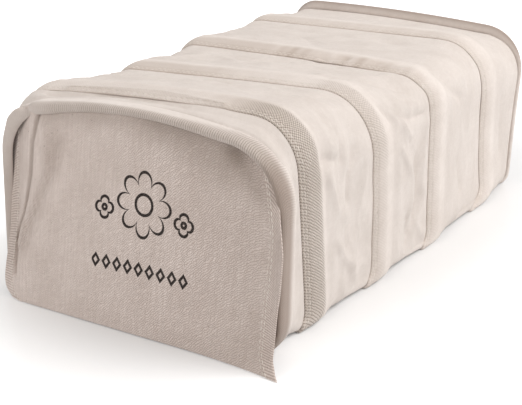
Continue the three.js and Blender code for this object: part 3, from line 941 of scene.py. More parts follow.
FLAP_SHADE = [     # painted shade, where the folds, the roll and the sides shade the cloth
    # width, darkness, points as (across, up)
    (1.3, 0.7, [(-62, 108), (-66.5, 91), (-67, 72), (-70.5, 51), (-74, 42), (-76, 35)]),
    (1.2, 0.4, [(-76, 35), (-76, 26), (-76.5, 14)]),
    (6, 0.26, [(-48, 90), (-51.5, 77), (-62.5, 51), (-69, 33)]),
    (6, 0.42, [(-60, 107), (-30, 107), (0, 108)]),
    (7, 0.5, [(10, 110), (40, 109), (60, 104)]),
    (5, 0.35, [(60, 104), (76, 92)]),
    (9, 0.32, [(16, 105), (38, 100), (54, 95)]),
    (24, 0.20, [(72, 100), (76, 70), (80, 10)]),
    (8, 0.3, [(-79, 106), (-78, 60), (-82, 24)]),
]
print("flap:", FLAP_RIGHT[0] - FLAP_LEFT[0], "mm wide at its foot,", len(FLAP_FOLDS), "folds")

# %% Flap
# Places across a row, in mm from either side and as shares of the rest, and up the flap. They lie
# close together at an edge, for its round.
CUT_EDGE = np.array([0, 0.12, 0.35, 0.6])
LEFT_STRIP = np.append(CUT_EDGE, np.arange(1, 16.1, 0.5))
RIGHT_STRIP = np.append(CUT_EDGE, np.arange(1, 12.1, 0.5))[::-1]
INSIDE = np.linspace(0, 1, 150)[1:-1]
TALLS = np.concatenate([CUT_EDGE, np.arange(1, 108.6, 1), FLAP_FULL - CUT_EDGE[::-1]])


def along_routes(x, tall, table):
    """The height or darkness that the routes of a table give to a row of the flap."""
    spots = np.stack([x, np.full_like(x, tall)], 1)
    return sum(amount * np.exp(-((away_from(spots, route) / width) ** 2)) for width, amount, route in table)


def flap_grid():
    """The flap's front face, and how much each place is hem and how much painted shade it takes."""
    rows, hems, flap_shades = [], [], []
    for tall in TALLS:
        left, crease, right, front = (
            flowing(FLAP_TALL, table, tall) for table in (FLAP_LEFT, FLAP_CREASE, FLAP_RIGHT, FLAP_FRONT)
        )
        low, high = left + LEFT_STRIP[-1], right - RIGHT_STRIP[0]
        x = np.concatenate([left + LEFT_STRIP, low + (high - low) * INSIDE, right - RIGHT_STRIP])
        z = FLAP_FOOT + (flowing(*FLAP_TOP, x) - FLAP_FOOT) * tall / FLAP_FULL
        turned = FLAP_TURN * TURN_SOFT * np.logaddexp(0, (crease - x) / TURN_SOFT)
        forward = front * np.maximum((x - right) / FLAP_SPREAD + 1, 0) ** 2
        left_hem = 1 - ease(x - left, LEFT_HEM - HEM_EDGE, LEFT_HEM)
        right_hem = ease(x - right, -RIGHT_HEM, HEM_EDGE - RIGHT_HEM)
        hem = np.maximum(left_hem, right_hem)
        y = FLAP_SLOPE * z + turned - forward - HEM_PROUD * hem - along_routes(x, tall, FLAP_FOLDS)
        rows.append(np.stack([x, y, z], 1))
        hems.append(hem)
        flap_shades.append(along_routes(x, tall, FLAP_SHADE))
    return np.array(rows), np.array(hems), np.array(flap_shades)


flap_face, hem, flap_shade = flap_grid()
weave = np.stack([flap_face[..., 0], np.broadcast_to(TALLS[:, None], hem.shape)], -1)
thick = FLAP_CLOTH + HEM_CLOTH * hem
marks = {"hem": hem[::-1], "flap_shade": flap_shade[::-1]}
flap = shell("flap_twill", flap_face[::-1], thick[::-1], False, weave[::-1], marks)
print("flap:", len(flap.data.polygons), "faces")

# %% [markdown]
# ## Stitches
# Each stitch is one turn of thick thread that lies in a small dent. A painted seam would do from
# afar, but close up the thread has to catch the light. So one stitch is modelled as a rounded bead,
# and copies of it are set end to end along a seam, with a little difference in angle and length,
# because the seams were run by hand through a machine.

# %% One stitch
BEAD_SEGMENTS, BEAD_RINGS = 6, 5     # few, because there are hundreds of stitches

bpy.ops.mesh.primitive_uv_sphere_add(segments=BEAD_SEGMENTS, ring_count=BEAD_RINGS, radius=0.5)
bead = bpy.context.object
bead_points = np.array([v.co for v in bead.data.vertices])[:, [2, 0, 1]]
bead_faces = [tuple(p.vertices) for p in bead.data.polygons]
bpy.data.objects.remove(bead)
print("one stitch has", len(bead_faces), "faces")

# %% Seams of stitches
AHEAD = 0.5          # mm along a seam over which its way is measured
TURNED_BY = 0.05     # mm that a stitch strays from that way over the same distance
LONGER_BY = 0.08     # and how much longer or shorter it is, as a share


def seam(name, line, outs, pitch, size):
    """Stitches along a line in mm. outs faces out of the cloth, and size is length, width, height."""
    run = np.concatenate([[0], np.cumsum(np.linalg.norm(np.diff(line, axis=0), axis=1))])
    places = np.arange(pitch / 2, run[-1] - pitch / 2, pitch)
    points, faces = [], []

    def read(table, at):
        return np.array([np.interp(at, run, table[:, k]) for k in range(3)])

    for i, place in enumerate(places):
        stray = noise.random_vector()
        spot, ahead, out = read(line, place), read(line, place + AHEAD), read(outs, place)
        out /= np.linalg.norm(out)
        along = ahead - spot + TURNED_BY * np.array(stray)
        along -= out * (along @ out)
        along /= np.linalg.norm(along)
        sideways = np.cross(out, along) * size[1]
        lengthwise = along * size[0] * (1 + LONGER_BY * stray[0])
        points.append(bead_points @ np.array([lengthwise, sideways, out * size[2]]) + spot)
        faces += [tuple(k + i * len(bead_points) for k in face) for face in bead_faces]
    mesh = bpy.data.meshes.new(name)
    mesh.from_pydata(np.concatenate(points) * MM + np.array(PLACE), [], faces)
    mesh.polygons.foreach_set("use_smooth", np.ones(len(faces), bool))
    piece = bpy.data.objects.new(name, mesh)
    bpy.context.scene.collection.objects.link(piece)
    return piece


def joined(pieces, name):
    """Several seams made one piece."""
    bpy.ops.object.select_all(action="DESELECT")
    for piece in pieces:
        piece.select_set(True)
    bpy.context.view_layer.objects.active = pieces[0]
    bpy.ops.object.join()
    pieces[0].name = pieces[0].data.name = name
    bpy.ops.object.select_all(action="DESELECT")
    return pieces[0]


print("stitch helpers are ready")

# %% Stitches on the casings
noise.seed_set(7)
CASING_STITCH = (2.5, 0.55, 0.5)     # mm long, wide and high
CASING_PITCH = 3.5                   # mm from stitch to stitch
CASING_PROUD = 0.08                  # mm from the cloth to a stitch's middle
casing_stitches = []
for number, (grid, backs) in enumerate(casing_grids, 1):
    outs = facing(grid, True)
    lines = []
    for at in STITCH_ROWS:
        i = int(np.abs(backs - at).argmin())
        line, out = np.vstack([grid[i], grid[i][:1]]), np.vstack([outs[i], outs[i][:1]])
        lines.append(seam(f"line_{at}", line + out * CASING_PROUD, out, CASING_PITCH, CASING_STITCH))
    casing_stitches.append(joined(lines, f"casing_stitches_{number}"))
print("stitches:", [len(piece.data.polygons) // len(bead_faces) for piece in casing_stitches])

# %% Stitches on the flap's hems
HEM_STITCH = (2.3, 0.6, 0.5)
HEM_PITCH = 3.2
HEM_STITCH_PROUD = 0.05
HEM_LINES = [("right", 6.0), ("right", 7.9), ("left", 7.6)]     # side, mm in from its edge
flap_out = -facing(flap_face, False)


def hem_line(inset, side):
    """A line down the flap, a given distance in from its left or right edge, and the way out."""
    line, out = [], []
    for front, way in zip(flap_face[2:-1], flap_out[2:-1]):
        x = front[0, 0] + inset if side == "left" else front[-1, 0] - inset
        line.append([np.interp(x, front[:, 0], front[:, k]) for k in range(3)])
        out.append([np.interp(x, front[:, 0], way[:, k]) for k in range(3)])
    return np.array(line), np.array(out)


flap_lines = []
for side, inset in HEM_LINES:
    line, out = hem_line(inset, side)
    line = line + out * HEM_STITCH_PROUD
    flap_lines.append(seam(f"hem_{side}_{inset}", line, out, HEM_PITCH, HEM_STITCH))
flap_stitches = joined(flap_lines, "flap_stitches")
print("flap stitches:", len(flap_stitches.data.polygons) // len(bead_faces))

# %% [markdown]
# ## Cloth materials
# Every cloth here is undyed cotton. A material could be built for each from its start, but they
# share a few node groups: a plain weave, ribs, a twill, dark flecks of seed husk and a slow change of
# tone. The groups work in millimetres on the piece's own weave coordinates, and only the colours and
# the amounts differ between the pieces.

# %% Node helpers
def new_group(name, inputs, outputs):
    """An empty node group with vector or number inputs and number outputs."""
    tree = bpy.data.node_groups.new(name, "ShaderNodeTree")
    for label, start in inputs:
        kind = "NodeSocketVector" if start is None else "NodeSocketFloat"
        socket = tree.interface.new_socket(label, in_out="INPUT", socket_type=kind)
        if start is not None:
            socket.default_value = start
    for label in outputs:
        tree.interface.new_socket(label, in_out="OUTPUT", socket_type="NodeSocketFloat")
    return tree, tree.nodes.new("NodeGroupInput").outputs, tree.nodes.new("NodeGroupOutput").inputs


def feed(tree, value, socket):
    """Joins a socket to an input, or sets a plain number on it."""
    if hasattr(value, "is_output"):
        tree.links.new(value, socket)
    else:
        socket.default_value = value


def calc(tree, operation, *values):
    """The result of a Math node."""
    node = tree.nodes.new("ShaderNodeMath")
    node.operation = operation
    for value, socket in zip(values, node.inputs):
        feed(tree, value, socket)
    return node.outputs[0]


def times(tree, a, b):
    """A product."""
    return calc(tree, "MULTIPLY", a, b)


def split(tree, vector):
    """The parts of a vector."""
    node = tree.nodes.new("ShaderNodeSeparateXYZ")
    feed(tree, vector, node.inputs[0])
    return node.outputs


def vector_of(tree, x, y):
    """A vector from its first two parts."""
    node = tree.nodes.new("ShaderNodeCombineXYZ")
    feed(tree, x, node.inputs[0])
    feed(tree, y, node.inputs[1])
    return node.outputs[0]


def soft_noise(tree, vector, scale, detail=2.0):
    """Noise between 0 and 1 with about scale lumps in each unit of the vector."""
    node = tree.nodes.new("ShaderNodeTexNoise")
    feed(tree, vector, node.inputs["Vector"])
    node.inputs["Scale"].default_value = scale
    node.inputs["Detail"].default_value = detail
    return node.outputs[0]


def soft_step(tree, value, low, high):
    """0 at low, 1 at high and a soft step between."""
    node = tree.nodes.new("ShaderNodeMapRange")
    node.interpolation_type = "SMOOTHSTEP"
    for socket, number in zip(node.inputs, (value, low, high, 0.0, 1.0)):
        feed(tree, number, socket)
    return node.outputs[0]


print("node helpers are ready")

# %% Threads
def strayed(tree, place, wander, detail=2.0):
    """How far threads stray from their lines: wander is lumps in each mm, and the widest in mm."""
    return times(tree, soft_noise(tree, place, wander[0], detail), wander[1])


def cushion(tree, place, pitch, wander):
    """A row of round threads: 1 on each thread and 0 between two."""
    turned = times(tree, calc(tree, "DIVIDE", calc(tree, "ADD", place, wander), pitch), math.pi)
    return calc(tree, "ABSOLUTE", calc(tree, "SINE", turned))


def thread_tone(tree, place, pitch, seed):
    """A tone from 0 to 1 for each thread."""
    number = calc(tree, "FLOOR", calc(tree, "DIVIDE", place, pitch))
    node = tree.nodes.new("ShaderNodeTexWhiteNoise")
    node.noise_dimensions = "1D"
    feed(tree, calc(tree, "ADD", number, seed), node.inputs["W"])
    return node.outputs["Value"]


print("thread helpers are ready")

# %% Plain weave
WARP_WANDER, WARP_SEED = (0.35, 1.1), 3.5
WEFT_WANDER, WEFT_SEED = (0.27, 1.1), 90.5
WEAVE_FLAT = 0.6     # under 1, the threads look flatter on top

weave_group, given, out = new_group("plain_weave", [("Place", None), ("Pitch", 1.0)], ["Height", "Tone"])
tree, place, pitch = weave_group, given["Place"], given["Pitch"]
x, y, _ = split(tree, place)
warp = cushion(tree, x, pitch, strayed(tree, place, WARP_WANDER))
weft = cushion(tree, y, pitch, strayed(tree, place, WEFT_WANDER))
feed(tree, calc(tree, "POWER", times(tree, warp, weft), WEAVE_FLAT), out["Height"])
tones = calc(tree, "ADD", thread_tone(tree, x, pitch, WARP_SEED), thread_tone(tree, y, pitch, WEFT_SEED))
feed(tree, times(tree, tones, 0.5), out["Tone"])
print("plain weave has", len(tree.nodes), "nodes")

# %% Ribs
RIB_WANDER = (0.5, 0.7)
KNOT_PITCH = 1.3     # mm from knot to knot along a rib
KNOT_SHARE = 0.3     # how much lower a rib is between two knots

rib_group, given, out = new_group("ribs", [("Place", None), ("Pitch", 1.0)], ["Height"])
tree, place = rib_group, given["Place"]
x, y, _ = split(tree, place)
stray = strayed(tree, place, RIB_WANDER)
rib = cushion(tree, x, given["Pitch"], stray)
knots = calc(tree, "MULTIPLY_ADD", cushion(tree, y, KNOT_PITCH, stray), KNOT_SHARE, 1 - KNOT_SHARE)
feed(tree, times(tree, rib, knots), out["Height"])
print("ribs have", len(tree.nodes), "nodes")

# %% Twill
TWILL_TURN = math.radians(43)
TWILL_WANDER = (0.30, 2.4)
FLOAT_PITCH = 1.55      # mm from float to float along a line of the twill
FLOAT_SHIFT = 0.83      # mm that each line's floats are ahead of the last line's
FLOAT_SHARE = 0.6
GRAIN = 1.5             # lumps in each mm
GRAIN_LEAST = 0.5       # the least that it leaves of a bump, as a share
SLUB_LONG = 0.07        # slubs run down the cloth, so that way is squeezed
SLUBS = 0.8
SLUB_STEP = (0.35, 0.65)

twill_group, given, out = new_group("twill", [("Place", None), ("Pitch", 1.0)], ["Height", "Tone"])
tree, place, pitch = twill_group, given["Place"], given["Pitch"]
x, y, _ = split(tree, place)
stray = strayed(tree, place, TWILL_WANDER, detail=1.0)
crossing = calc(tree, "MULTIPLY_ADD", x, math.sin(TWILL_TURN), times(tree, y, -math.cos(TWILL_TURN)))
running = calc(tree, "MULTIPLY_ADD", x, math.cos(TWILL_TURN), times(tree, y, math.sin(TWILL_TURN)))
line = cushion(tree, crossing, pitch, stray)
number = calc(tree, "FLOOR", calc(tree, "DIVIDE", calc(tree, "ADD", crossing, stray), pitch))
floats = cushion(tree, calc(tree, "MULTIPLY_ADD", number, FLOAT_SHIFT, running), FLOAT_PITCH, stray)
bumps = times(tree, line, calc(tree, "MULTIPLY_ADD", floats, FLOAT_SHARE, 1 - FLOAT_SHARE))
grain = calc(tree, "ADD", soft_noise(tree, place, GRAIN, detail=1.0), GRAIN_LEAST)
feed(tree, times(tree, bumps, grain), out["Height"])
slubs = soft_noise(tree, vector_of(tree, x, times(tree, y, SLUB_LONG)), SLUBS)
feed(tree, soft_step(tree, slubs, *SLUB_STEP), out["Tone"])
print("twill has", len(tree.nodes), "nodes")

# %% Flecks and tone
FLECK_PLACES = 0.30          # possible places in each mm
FLECK_EDGE = (0.13, 0.05)    # from its edge in, as a share of the room for one
TONE_DETAIL = 3.0
BROAD, BROAD_STEP = 45.0, (0.28, 0.72)     # lumps in each metre
FINE, FINE_STEP = 420.0, (0.25, 0.75)

fleck_group, given, out = new_group("flecks", [("Place", None), ("Share", 0.2)], ["Mask"])
cells = fleck_group.nodes.new("ShaderNodeTexVoronoi")
feed(fleck_group, given["Place"], cells.inputs["Vector"])
cells.inputs["Scale"].default_value = FLECK_PLACES
near = soft_step(fleck_group, cells.outputs["Distance"], *FLECK_EDGE)
chance, _, _ = split(fleck_group, cells.outputs["Color"])
picked = calc(fleck_group, "LESS_THAN", chance, given["Share"])
feed(fleck_group, times(fleck_group, near, picked), out["Mask"])

tone_group, given, out = new_group("tone", [("Place", None)], ["Broad", "Fine"])
broad = soft_noise(tone_group, given["Place"], BROAD, TONE_DETAIL)
fine = soft_noise(tone_group, given["Place"], FINE, TONE_DETAIL)
feed(tone_group, soft_step(tone_group, broad, *BROAD_STEP), out["Broad"])
feed(tone_group, soft_step(tone_group, fine, *FINE_STEP), out["Fine"])
print("fleck and tone groups are ready")

# %% [markdown]
# ## The print
# The flap carries a small dark brown print: a round flower with a small one on each side, and a
# border of lozenges under them. It is drawn from distances in the flap's own millimetres, so its
# lines stay thin and even, and the weave shows through where the ink missed the dents.

# %% Print tables
PRINT_LINE = 1.6       # mm wide
INK_EDGE = 0.18        # mm that the ink runs
FLOWERS = [
    # middle, radius, petals, radius of the eye
    ((10, 67), 16.5, 8, 5.2),
    ((-15, 62), 5.5, 4, 1.3),
    ((35, 62), 5.5, 4, 1.3),
]
PETAL_ROUND = 0.55
PETAL_DEEP = 0.42      # how deep the petals are cut, as a share of the radius
LOZENGE_LINE = 1.8
LOZENGE_HALF = 2.2     # half of its width
LOZENGE_SLANT = 0.75   # mm that each half is narrower for each mm up or down from its middle
LOZENGE_PITCH = 7.0
LOZENGE_START = 99.6   # mm left of the flap's middle where the first one would be
LOZENGE_UP = 34
ROW_MIDDLE, ROW_HALF = 9.7, 31.4
print(len(FLOWERS), "flowers over", round(2 * ROW_HALF / LOZENGE_PITCH), "lozenges")

# %% Print group
def ink_near(tree, distance, width=PRINT_LINE):
    """1 within half a line's width of a shape's outline, and 0 away from it."""
    return soft_step(tree, calc(tree, "ABSOLUTE", distance), width / 2 + INK_EDGE, width / 2 - INK_EDGE)


def away_on(tree, value, place):
    """How far a value is from a place, either way."""
    return calc(tree, "ABSOLUTE", calc(tree, "SUBTRACT", value, place))


def flower(tree, across, up, middle, radius, petals, eye):
    """The outline of a flower with round petals and an eye."""
    dx, dy = calc(tree, "SUBTRACT", across, middle[0]), calc(tree, "SUBTRACT", up, middle[1])
    away = calc(tree, "SQRT", calc(tree, "MULTIPLY_ADD", dx, dx, times(tree, dy, dy)))
    turn = times(tree, calc(tree, "ARCTAN2", dy, dx), petals / 2)
    wave = calc(tree, "POWER", calc(tree, "ABSOLUTE", calc(tree, "COSINE", turn)), PETAL_ROUND)
    edge = calc(tree, "MULTIPLY_ADD", wave, radius * PETAL_DEEP, radius * (1 - PETAL_DEEP))
    outer = ink_near(tree, calc(tree, "SUBTRACT", away, edge))
    inner = ink_near(tree, calc(tree, "SUBTRACT", away, eye))
    return calc(tree, "MAXIMUM", outer, inner)


print_group, given, out = new_group("print", [("Place", None)], ["Ink"])
tree = print_group
x, y, _ = split(tree, given["Place"])
in_cell = calc(tree, "MODULO", calc(tree, "ADD", x, LOZENGE_START), LOZENGE_PITCH)
wide = calc(tree, "SUBTRACT", away_on(tree, in_cell, LOZENGE_PITCH / 2), LOZENGE_HALF)
lozenge = calc(tree, "MULTIPLY_ADD", away_on(tree, y, LOZENGE_UP), LOZENGE_SLANT, wide)
in_row = calc(tree, "LESS_THAN", away_on(tree, x, ROW_MIDDLE), ROW_HALF)
ink = times(tree, ink_near(tree, lozenge, LOZENGE_LINE), in_row)
for shape in FLOWERS:
    ink = calc(tree, "MAXIMUM", ink, flower(tree, x, y, *shape))
feed(tree, ink, out["Ink"])
print("the print has", len(tree.nodes), "nodes")

# %% [markdown]
# ## One start for every cloth
# Each material could be set up by itself, but all the cloths are dull cotton with a soft sheen and a
# mottled colour. So one helper makes that start, and another joins the finished colour and the
# height of the weave to the surface.

# %% Node groups at work
def mixed(tree, factor, a, b):
    """A colour between two others."""
    node = tree.nodes.new("ShaderNodeMix")
    node.data_type = "RGBA"
    feed(tree, factor, node.inputs[0])
    for value, socket in ((a, node.inputs[6]), (b, node.inputs[7])):
        feed(tree, value if hasattr(value, "is_output") else (*value, 1), socket)
    return node.outputs[2]


def use(tree, group, place, **settings):
    """A node group at work on some coordinates."""
    node = tree.nodes.new("ShaderNodeGroup")
    node.node_tree = group
    feed(tree, place, node.inputs["Place"])
    for label, value in settings.items():
        feed(tree, value, node.inputs[label])
    return node.outputs


def mark(tree, name):
    """A value that the mesh carries."""
    node = tree.nodes.new("ShaderNodeAttribute")
    node.attribute_name = name
    return node.outputs["Fac"]


def turned_place(tree, place):
    """Coordinates with across and along swapped, for ribs that run across a hem."""
    x, y, _ = split(tree, place)
    return vector_of(tree, y, x)


def slanted_place(tree, place):
    """Coordinates turned by an eighth of a turn, for a weave that runs on the bias."""
    x, y, _ = split(tree, place)
    return vector_of(tree, calc(tree, "ADD", x, y), calc(tree, "SUBTRACT", y, x))


print("helpers for materials are ready")

# %% Cloth material
CLOTH_GLOSS = 0.15
SHEEN_ROUGHNESS = 0.6
FINE_SHARE = 0.35        # of the fine tone, beside the broad one
BUMP_STRENGTH = 0.8


def cloth(name, dark, light, roughness, sheen):
    """A cloth material with its tree, its coordinates in mm, and a mottled colour to work on."""
    made = bpy.data.materials.new(name)
    made.use_nodes = True
    tree = made.node_tree
    surface = tree.nodes["Principled BSDF"]
    surface.inputs["Roughness"].default_value = roughness
    surface.inputs["Specular IOR Level"].default_value = CLOTH_GLOSS
    surface.inputs["Sheen Weight"].default_value = sheen
    surface.inputs["Sheen Roughness"].default_value = SHEEN_ROUGHNESS
    weave = tree.nodes.new("ShaderNodeUVMap")
    weave.uv_map = "weave"
    scaled = tree.nodes.new("ShaderNodeVectorMath")
    scaled.operation = "SCALE"
    scaled.inputs["Scale"].default_value = WEAVE_UNIT
    tree.links.new(weave.outputs[0], scaled.inputs[0])
    place = tree.nodes.new("ShaderNodeTexCoord").outputs["Object"]
    tone = use(tree, tone_group, place)
    broad = times(tree, tone["Broad"], 1 - FINE_SHARE)
    amount = calc(tree, "MULTIPLY_ADD", tone["Fine"], FINE_SHARE, broad)
    return made, tree, scaled.outputs[0], mixed(tree, amount, dark, light)


def finish_cloth(tree, colour, height, depth):
    """Joins a colour and a bump height of depth metres to the surface."""
    surface = tree.nodes["Principled BSDF"]
    feed(tree, colour, surface.inputs["Base Color"])
    bump = tree.nodes.new("ShaderNodeBump")
    bump.inputs["Distance"].default_value = depth
    bump.inputs["Strength"].default_value = BUMP_STRENGTH
    feed(tree, height, bump.inputs["Height"])
    feed(tree, bump.outputs[0], surface.inputs["Normal"])


print("cloth helper is ready")

# %% [markdown]
# ## Canvas
# The rings and the back are plain canvas: a fine even weave, mottled where the yarn is thicker, with
# a few specks of husk. An image of real canvas would do, but here the weave is worked out from
# threads, so it stays sharp close up. Its height feeds a bump and its dents take a darker colour.

# %% Canvas
CANVAS_DARK = (0.760, 0.682, 0.628)
CANVAS_LIGHT = (0.885, 0.808, 0.756)
CANVAS_DENT = (0.60, 0.52, 0.455)
HUSK = (0.45, 0.36, 0.28)
CANVAS_PITCH = 0.62         # mm from thread to thread
CANVAS_DEEP = 0.00018       # metres of bump
YARN_SHOWS = 0.35           # how plainly each thread has its own tone
DENT_SHOWS = 0.25
HUSK_SHARE, HUSK_SHOWS = 0.06, 0.35


def with_dents(tree, colour, weave):
    """A colour with the dents of a fine weave darker."""
    dents = times(tree, calc(tree, "SUBTRACT", 1.0, weave["Height"]), DENT_SHOWS)
    return mixed(tree, dents, colour, CANVAS_DENT)


canvas, tree, place, colour = cloth("canvas", CANVAS_DARK, CANVAS_LIGHT, roughness=0.9, sheen=0.2)
weave = use(tree, weave_group, place, Pitch=CANVAS_PITCH)
colour = mixed(tree, times(tree, weave["Tone"], YARN_SHOWS), colour, CANVAS_DARK)
colour = with_dents(tree, colour, weave)
flecks = use(tree, fleck_group, place, Share=HUSK_SHARE)
colour = mixed(tree, times(tree, flecks["Mask"], HUSK_SHOWS), colour, HUSK)
finish_cloth(tree, colour, weave["Height"], CANVAS_DEEP)
print("canvas has", len(tree.nodes), "nodes")

# %% [markdown]
# ## Casing tape
# The casings are a coarse tape cut on the bias. Where it is pulled over a corner its weave opens and shows
# dark gaps, and along its near edge painted shade darkens it. Modelled threads would be too many, so the
# same weave group works on slanted coordinates, and values on the mesh say where it is open and where the
# painted shade lies.

# %% Casing tape
TAPE_GAP = (0.30, 0.24, 0.19)
TAPE_SHADE = (0.53, 0.44, 0.375)
TAPE_PITCH = 1.75           # 1.24 mm between threads: the slanted coordinates are 1.41 times as long
COARSE_DEEP = 0.00035       # metres of bump, for the coarser cloths
SHADE_SHOWS = 0.6
GAP_STEP = (0.7, 0.2)       # heights of the weave where a gap starts and where it is fully dark
GAP_SHOWS = 0.95
CLOSED_BUMP = 0.15          # how plainly the weave stands out where it isn't open
FINE_BUMP = 0.25            # and how plainly the fine weave does everywhere

tape, tree, place, colour = cloth("casing_tape", CANVAS_DARK, CANVAS_LIGHT, roughness=0.92, sheen=0.2)
coarse, shade = mark(tree, "coarse"), mark(tree, "tape")
fine = use(tree, weave_group, place, Pitch=CANVAS_PITCH)
colour = with_dents(tree, colour, fine)
# painted shade on the tape, from the mesh's shade mark
colour = mixed(tree, times(tree, shade, SHADE_SHOWS), colour, TAPE_SHADE)
weave = use(tree, weave_group, slanted_place(tree, place), Pitch=TAPE_PITCH)
gaps = times(tree, soft_step(tree, weave["Height"], *GAP_STEP), times(tree, coarse, GAP_SHOWS))
colour = mixed(tree, gaps, colour, TAPE_GAP)
strength = calc(tree, "MULTIPLY_ADD", coarse, 1 - CLOSED_BUMP, CLOSED_BUMP)
height = times(tree, weave["Height"], strength)
finish_cloth(tree, colour, calc(tree, "MULTIPLY_ADD", fine["Height"], FINE_BUMP, height), COARSE_DEEP)
print("tape has", len(tree.nodes), "nodes")

# %% [markdown]
# ## Rolled rims
# A roll is the same canvas, pulled into fine ribs over the hoop, and painted shade darkens it, most on the
# front roll's right side and over the rear roll's top. The ribs could be modelled, but they are finer than
# a millimetre, so they are a bump too.

# %% Rolled rims
RIB_GAP = (0.40, 0.33, 0.27)
RIM_SHADE = (0.36, 0.28, 0.235)
RIM_RIBS = 1.3              # mm from rib to rib
RIB_STEP = (0.6, 0.1)
RIM_SHADE_MOST = 0.95
RIM_FINE_BUMP = 0.3

roll_cloth, tree, place, colour = cloth(
    "rim_canvas", CANVAS_DARK, CANVAS_LIGHT, roughness=0.92, sheen=0.2
)
ribbed = mark(tree, "ribbed")
ribs = use(tree, rib_group, place, Pitch=RIM_RIBS)
gaps = times(tree, soft_step(tree, ribs["Height"], *RIB_STEP), ribbed)
colour = mixed(tree, gaps, colour, RIB_GAP)
# painted shade on the rolls, from the mesh's mark
roll_shade = calc(tree, "MULTIPLY_ADD", mark(tree, "roll_shade"), 0.5, 0.5)     # from between -1 and 1 to 0 and 1
colour = mixed(tree, calc(tree, "MINIMUM", roll_shade, RIM_SHADE_MOST), colour, RIM_SHADE)
fine = use(tree, weave_group, place, Pitch=CANVAS_PITCH)
height = times(tree, ribs["Height"], ribbed)
finish_cloth(tree, colour, calc(tree, "MULTIPLY_ADD", fine["Height"], RIM_FINE_BUMP, height), COARSE_DEEP)
print("rim canvas has", len(tree.nodes), "nodes")

# %% [markdown]
# ## Flap twill and its print
# The flap is a heavier twill, with slanting lines, slubs and more husk, and its hems show ribs across them.
# It is rougher on the right, where it is handled. The layers go on as they do in the making, with painted
# shade among them: cloth, dents, painted shade in the folds and under the roll, specks, and the ink last,
# thinner over the dents.

# %% Flap twill and its print
TWILL_DARK = (0.715, 0.612, 0.558)
TWILL_LIGHT = (0.865, 0.760, 0.704)
TWILL_SLUB = (0.66, 0.555, 0.50)
TWILL_DENT = (0.42, 0.325, 0.280)
TWILL_SHADE = (0.30, 0.235, 0.195)
TWILL_HUSK = (0.22, 0.16, 0.12)
INK = (0.010, 0.004, 0.002)
TWILL_PITCH = 1.06          # mm from line to line
HEM_RIBS = 1.5              # mm from rib to rib
TWILL_STEP, HEM_STEP = (0.62, 0.08), (0.75, 0.15)
HEM_DENTS = 1.35
ROUGH_FROM = (-60.0, 40.0)  # mm across: smooth to the left of the first, rough right of the second
ROUGH_LEAST = 0.2
SPECKS, SPECK_STEP = 1.5, (0.56, 0.70)
SLUB_SHOWS, TWILL_DENT_SHOWS, FLAP_SHADE_SHOWS, SPECK_SHOWS = 0.45, 0.6, 0.8, 0.45
TWILL_HUSK_SHARE, TWILL_HUSK_SHOWS = 0.32, 0.55
INK_MISSED = 0.12           # how much of the ink the dents miss

twill, tree, place, colour = cloth("flap_twill", TWILL_DARK, TWILL_LIGHT, roughness=0.93, sheen=0.15)
lines = use(tree, twill_group, place, Pitch=TWILL_PITCH)
ribs = use(tree, rib_group, turned_place(tree, place), Pitch=HEM_RIBS)
hem = mark(tree, "hem")


def by_hem(tree, on_hem, elsewhere):
    """One value on the hems and another elsewhere."""
    return calc(tree, "MULTIPLY_ADD", hem, calc(tree, "SUBTRACT", on_hem, elsewhere), elsewhere)


flap_x, _, _ = split(tree, place)
rough = calc(tree, "MULTIPLY_ADD", soft_step(tree, flap_x, *ROUGH_FROM), 1 - ROUGH_LEAST, ROUGH_LEAST)
dent_twill = times(tree, soft_step(tree, lines["Height"], *TWILL_STEP), rough)
dent_hem = times(tree, soft_step(tree, ribs["Height"], *HEM_STEP), HEM_DENTS)
dents = by_hem(tree, dent_hem, dent_twill)
speck = times(tree, soft_step(tree, soft_noise(tree, place, SPECKS, detail=1.0), *SPECK_STEP), rough)
flecks = use(tree, fleck_group, place, Share=TWILL_HUSK_SHARE)
# the third layer is painted shade from the flap's mark, in the folds, along the sides and under the roll
for layer, shows, shade in (
    (lines["Tone"], SLUB_SHOWS, TWILL_SLUB),
    (dents, TWILL_DENT_SHOWS, TWILL_DENT),
    (mark(tree, "flap_shade"), FLAP_SHADE_SHOWS, TWILL_SHADE),
    (speck, SPECK_SHOWS, TWILL_DENT),
    (flecks["Mask"], TWILL_HUSK_SHOWS, TWILL_HUSK),
):
    colour = mixed(tree, times(tree, layer, shows), colour, shade)
ink = times(tree, use(tree, print_group, place)["Ink"], calc(tree, "MULTIPLY_ADD", dents, -INK_MISSED, 1.0))
colour = mixed(tree, ink, colour, INK)
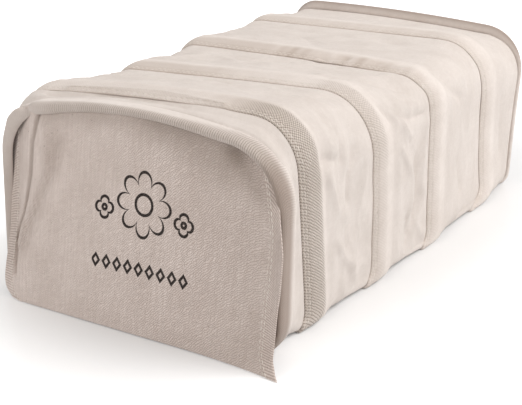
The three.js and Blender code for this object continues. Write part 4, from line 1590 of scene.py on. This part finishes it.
finish_cloth(tree, colour, by_hem(tree, ribs["Height"], lines["Height"]), COARSE_DEEP)
print("flap twill has", len(tree.nodes), "nodes")

# %% [markdown]
# ## Thread
# The thread is cotton too, a little smoother than the cloth and of nearly the same colour. Twisted
# yarn could be a bump, but a bead is too small for it, so only its tone changes from place to place.

# %% Thread
THREAD_DARK = (0.70, 0.63, 0.56)
THREAD_LIGHT = (0.86, 0.80, 0.74)
THREAD_ROUGHNESS = 0.75
THREAD_GLOSS = 0.3

thread = bpy.data.materials.new("thread")
thread.use_nodes = True
tree = thread.node_tree
surface = tree.nodes["Principled BSDF"]
surface.inputs["Roughness"].default_value = THREAD_ROUGHNESS
surface.inputs["Specular IOR Level"].default_value = THREAD_GLOSS
tone = use(tree, tone_group, tree.nodes.new("ShaderNodeTexCoord").outputs["Object"])
feed(tree, mixed(tree, tone["Fine"], THREAD_DARK, THREAD_LIGHT), surface.inputs["Base Color"])
print("thread has", len(tree.nodes), "nodes")

# %% Each piece gets its cloth
for pieces, material in (
    ((*sections, back_panel), canvas),
    (casings, tape),
    (rims, roll_cloth),
    ([flap], twill),
    ((*casing_stitches, flap_stitches), thread),
):
    for piece in pieces:
        piece.data.materials.clear()
        piece.data.materials.append(material)
print("every piece has its cloth")

# %% [markdown]
# ## What each piece replaces
# The frame holds a plain solid for each piece of cloth. Each finished piece takes the place of its solid,
# which is hidden, and goes with the bag's one body.

# %% Pieces of the bag
for number, piece in enumerate(sections, 1):
    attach(piece, "root")
    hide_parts(f"section_{number}")
for number, piece in enumerate(casings, 1):
    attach(piece, "root")
    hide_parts(f"casing_{number}")
    stitches = casing_stitches[number - 1]
    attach(stitches, "root")
    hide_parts(f"casing_{number}")
for name, piece, width in (("front", front_rim, 0.018), ("rear", rear_rim, 0.011)):
    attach(piece, "root")
    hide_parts(f"{name}_rim")
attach(back_panel, "root")
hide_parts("back_panel")
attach(flap, "root")
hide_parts("front_flap")
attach(flap_stitches, "root")
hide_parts("front_flap")
print("every solid has its cloth")
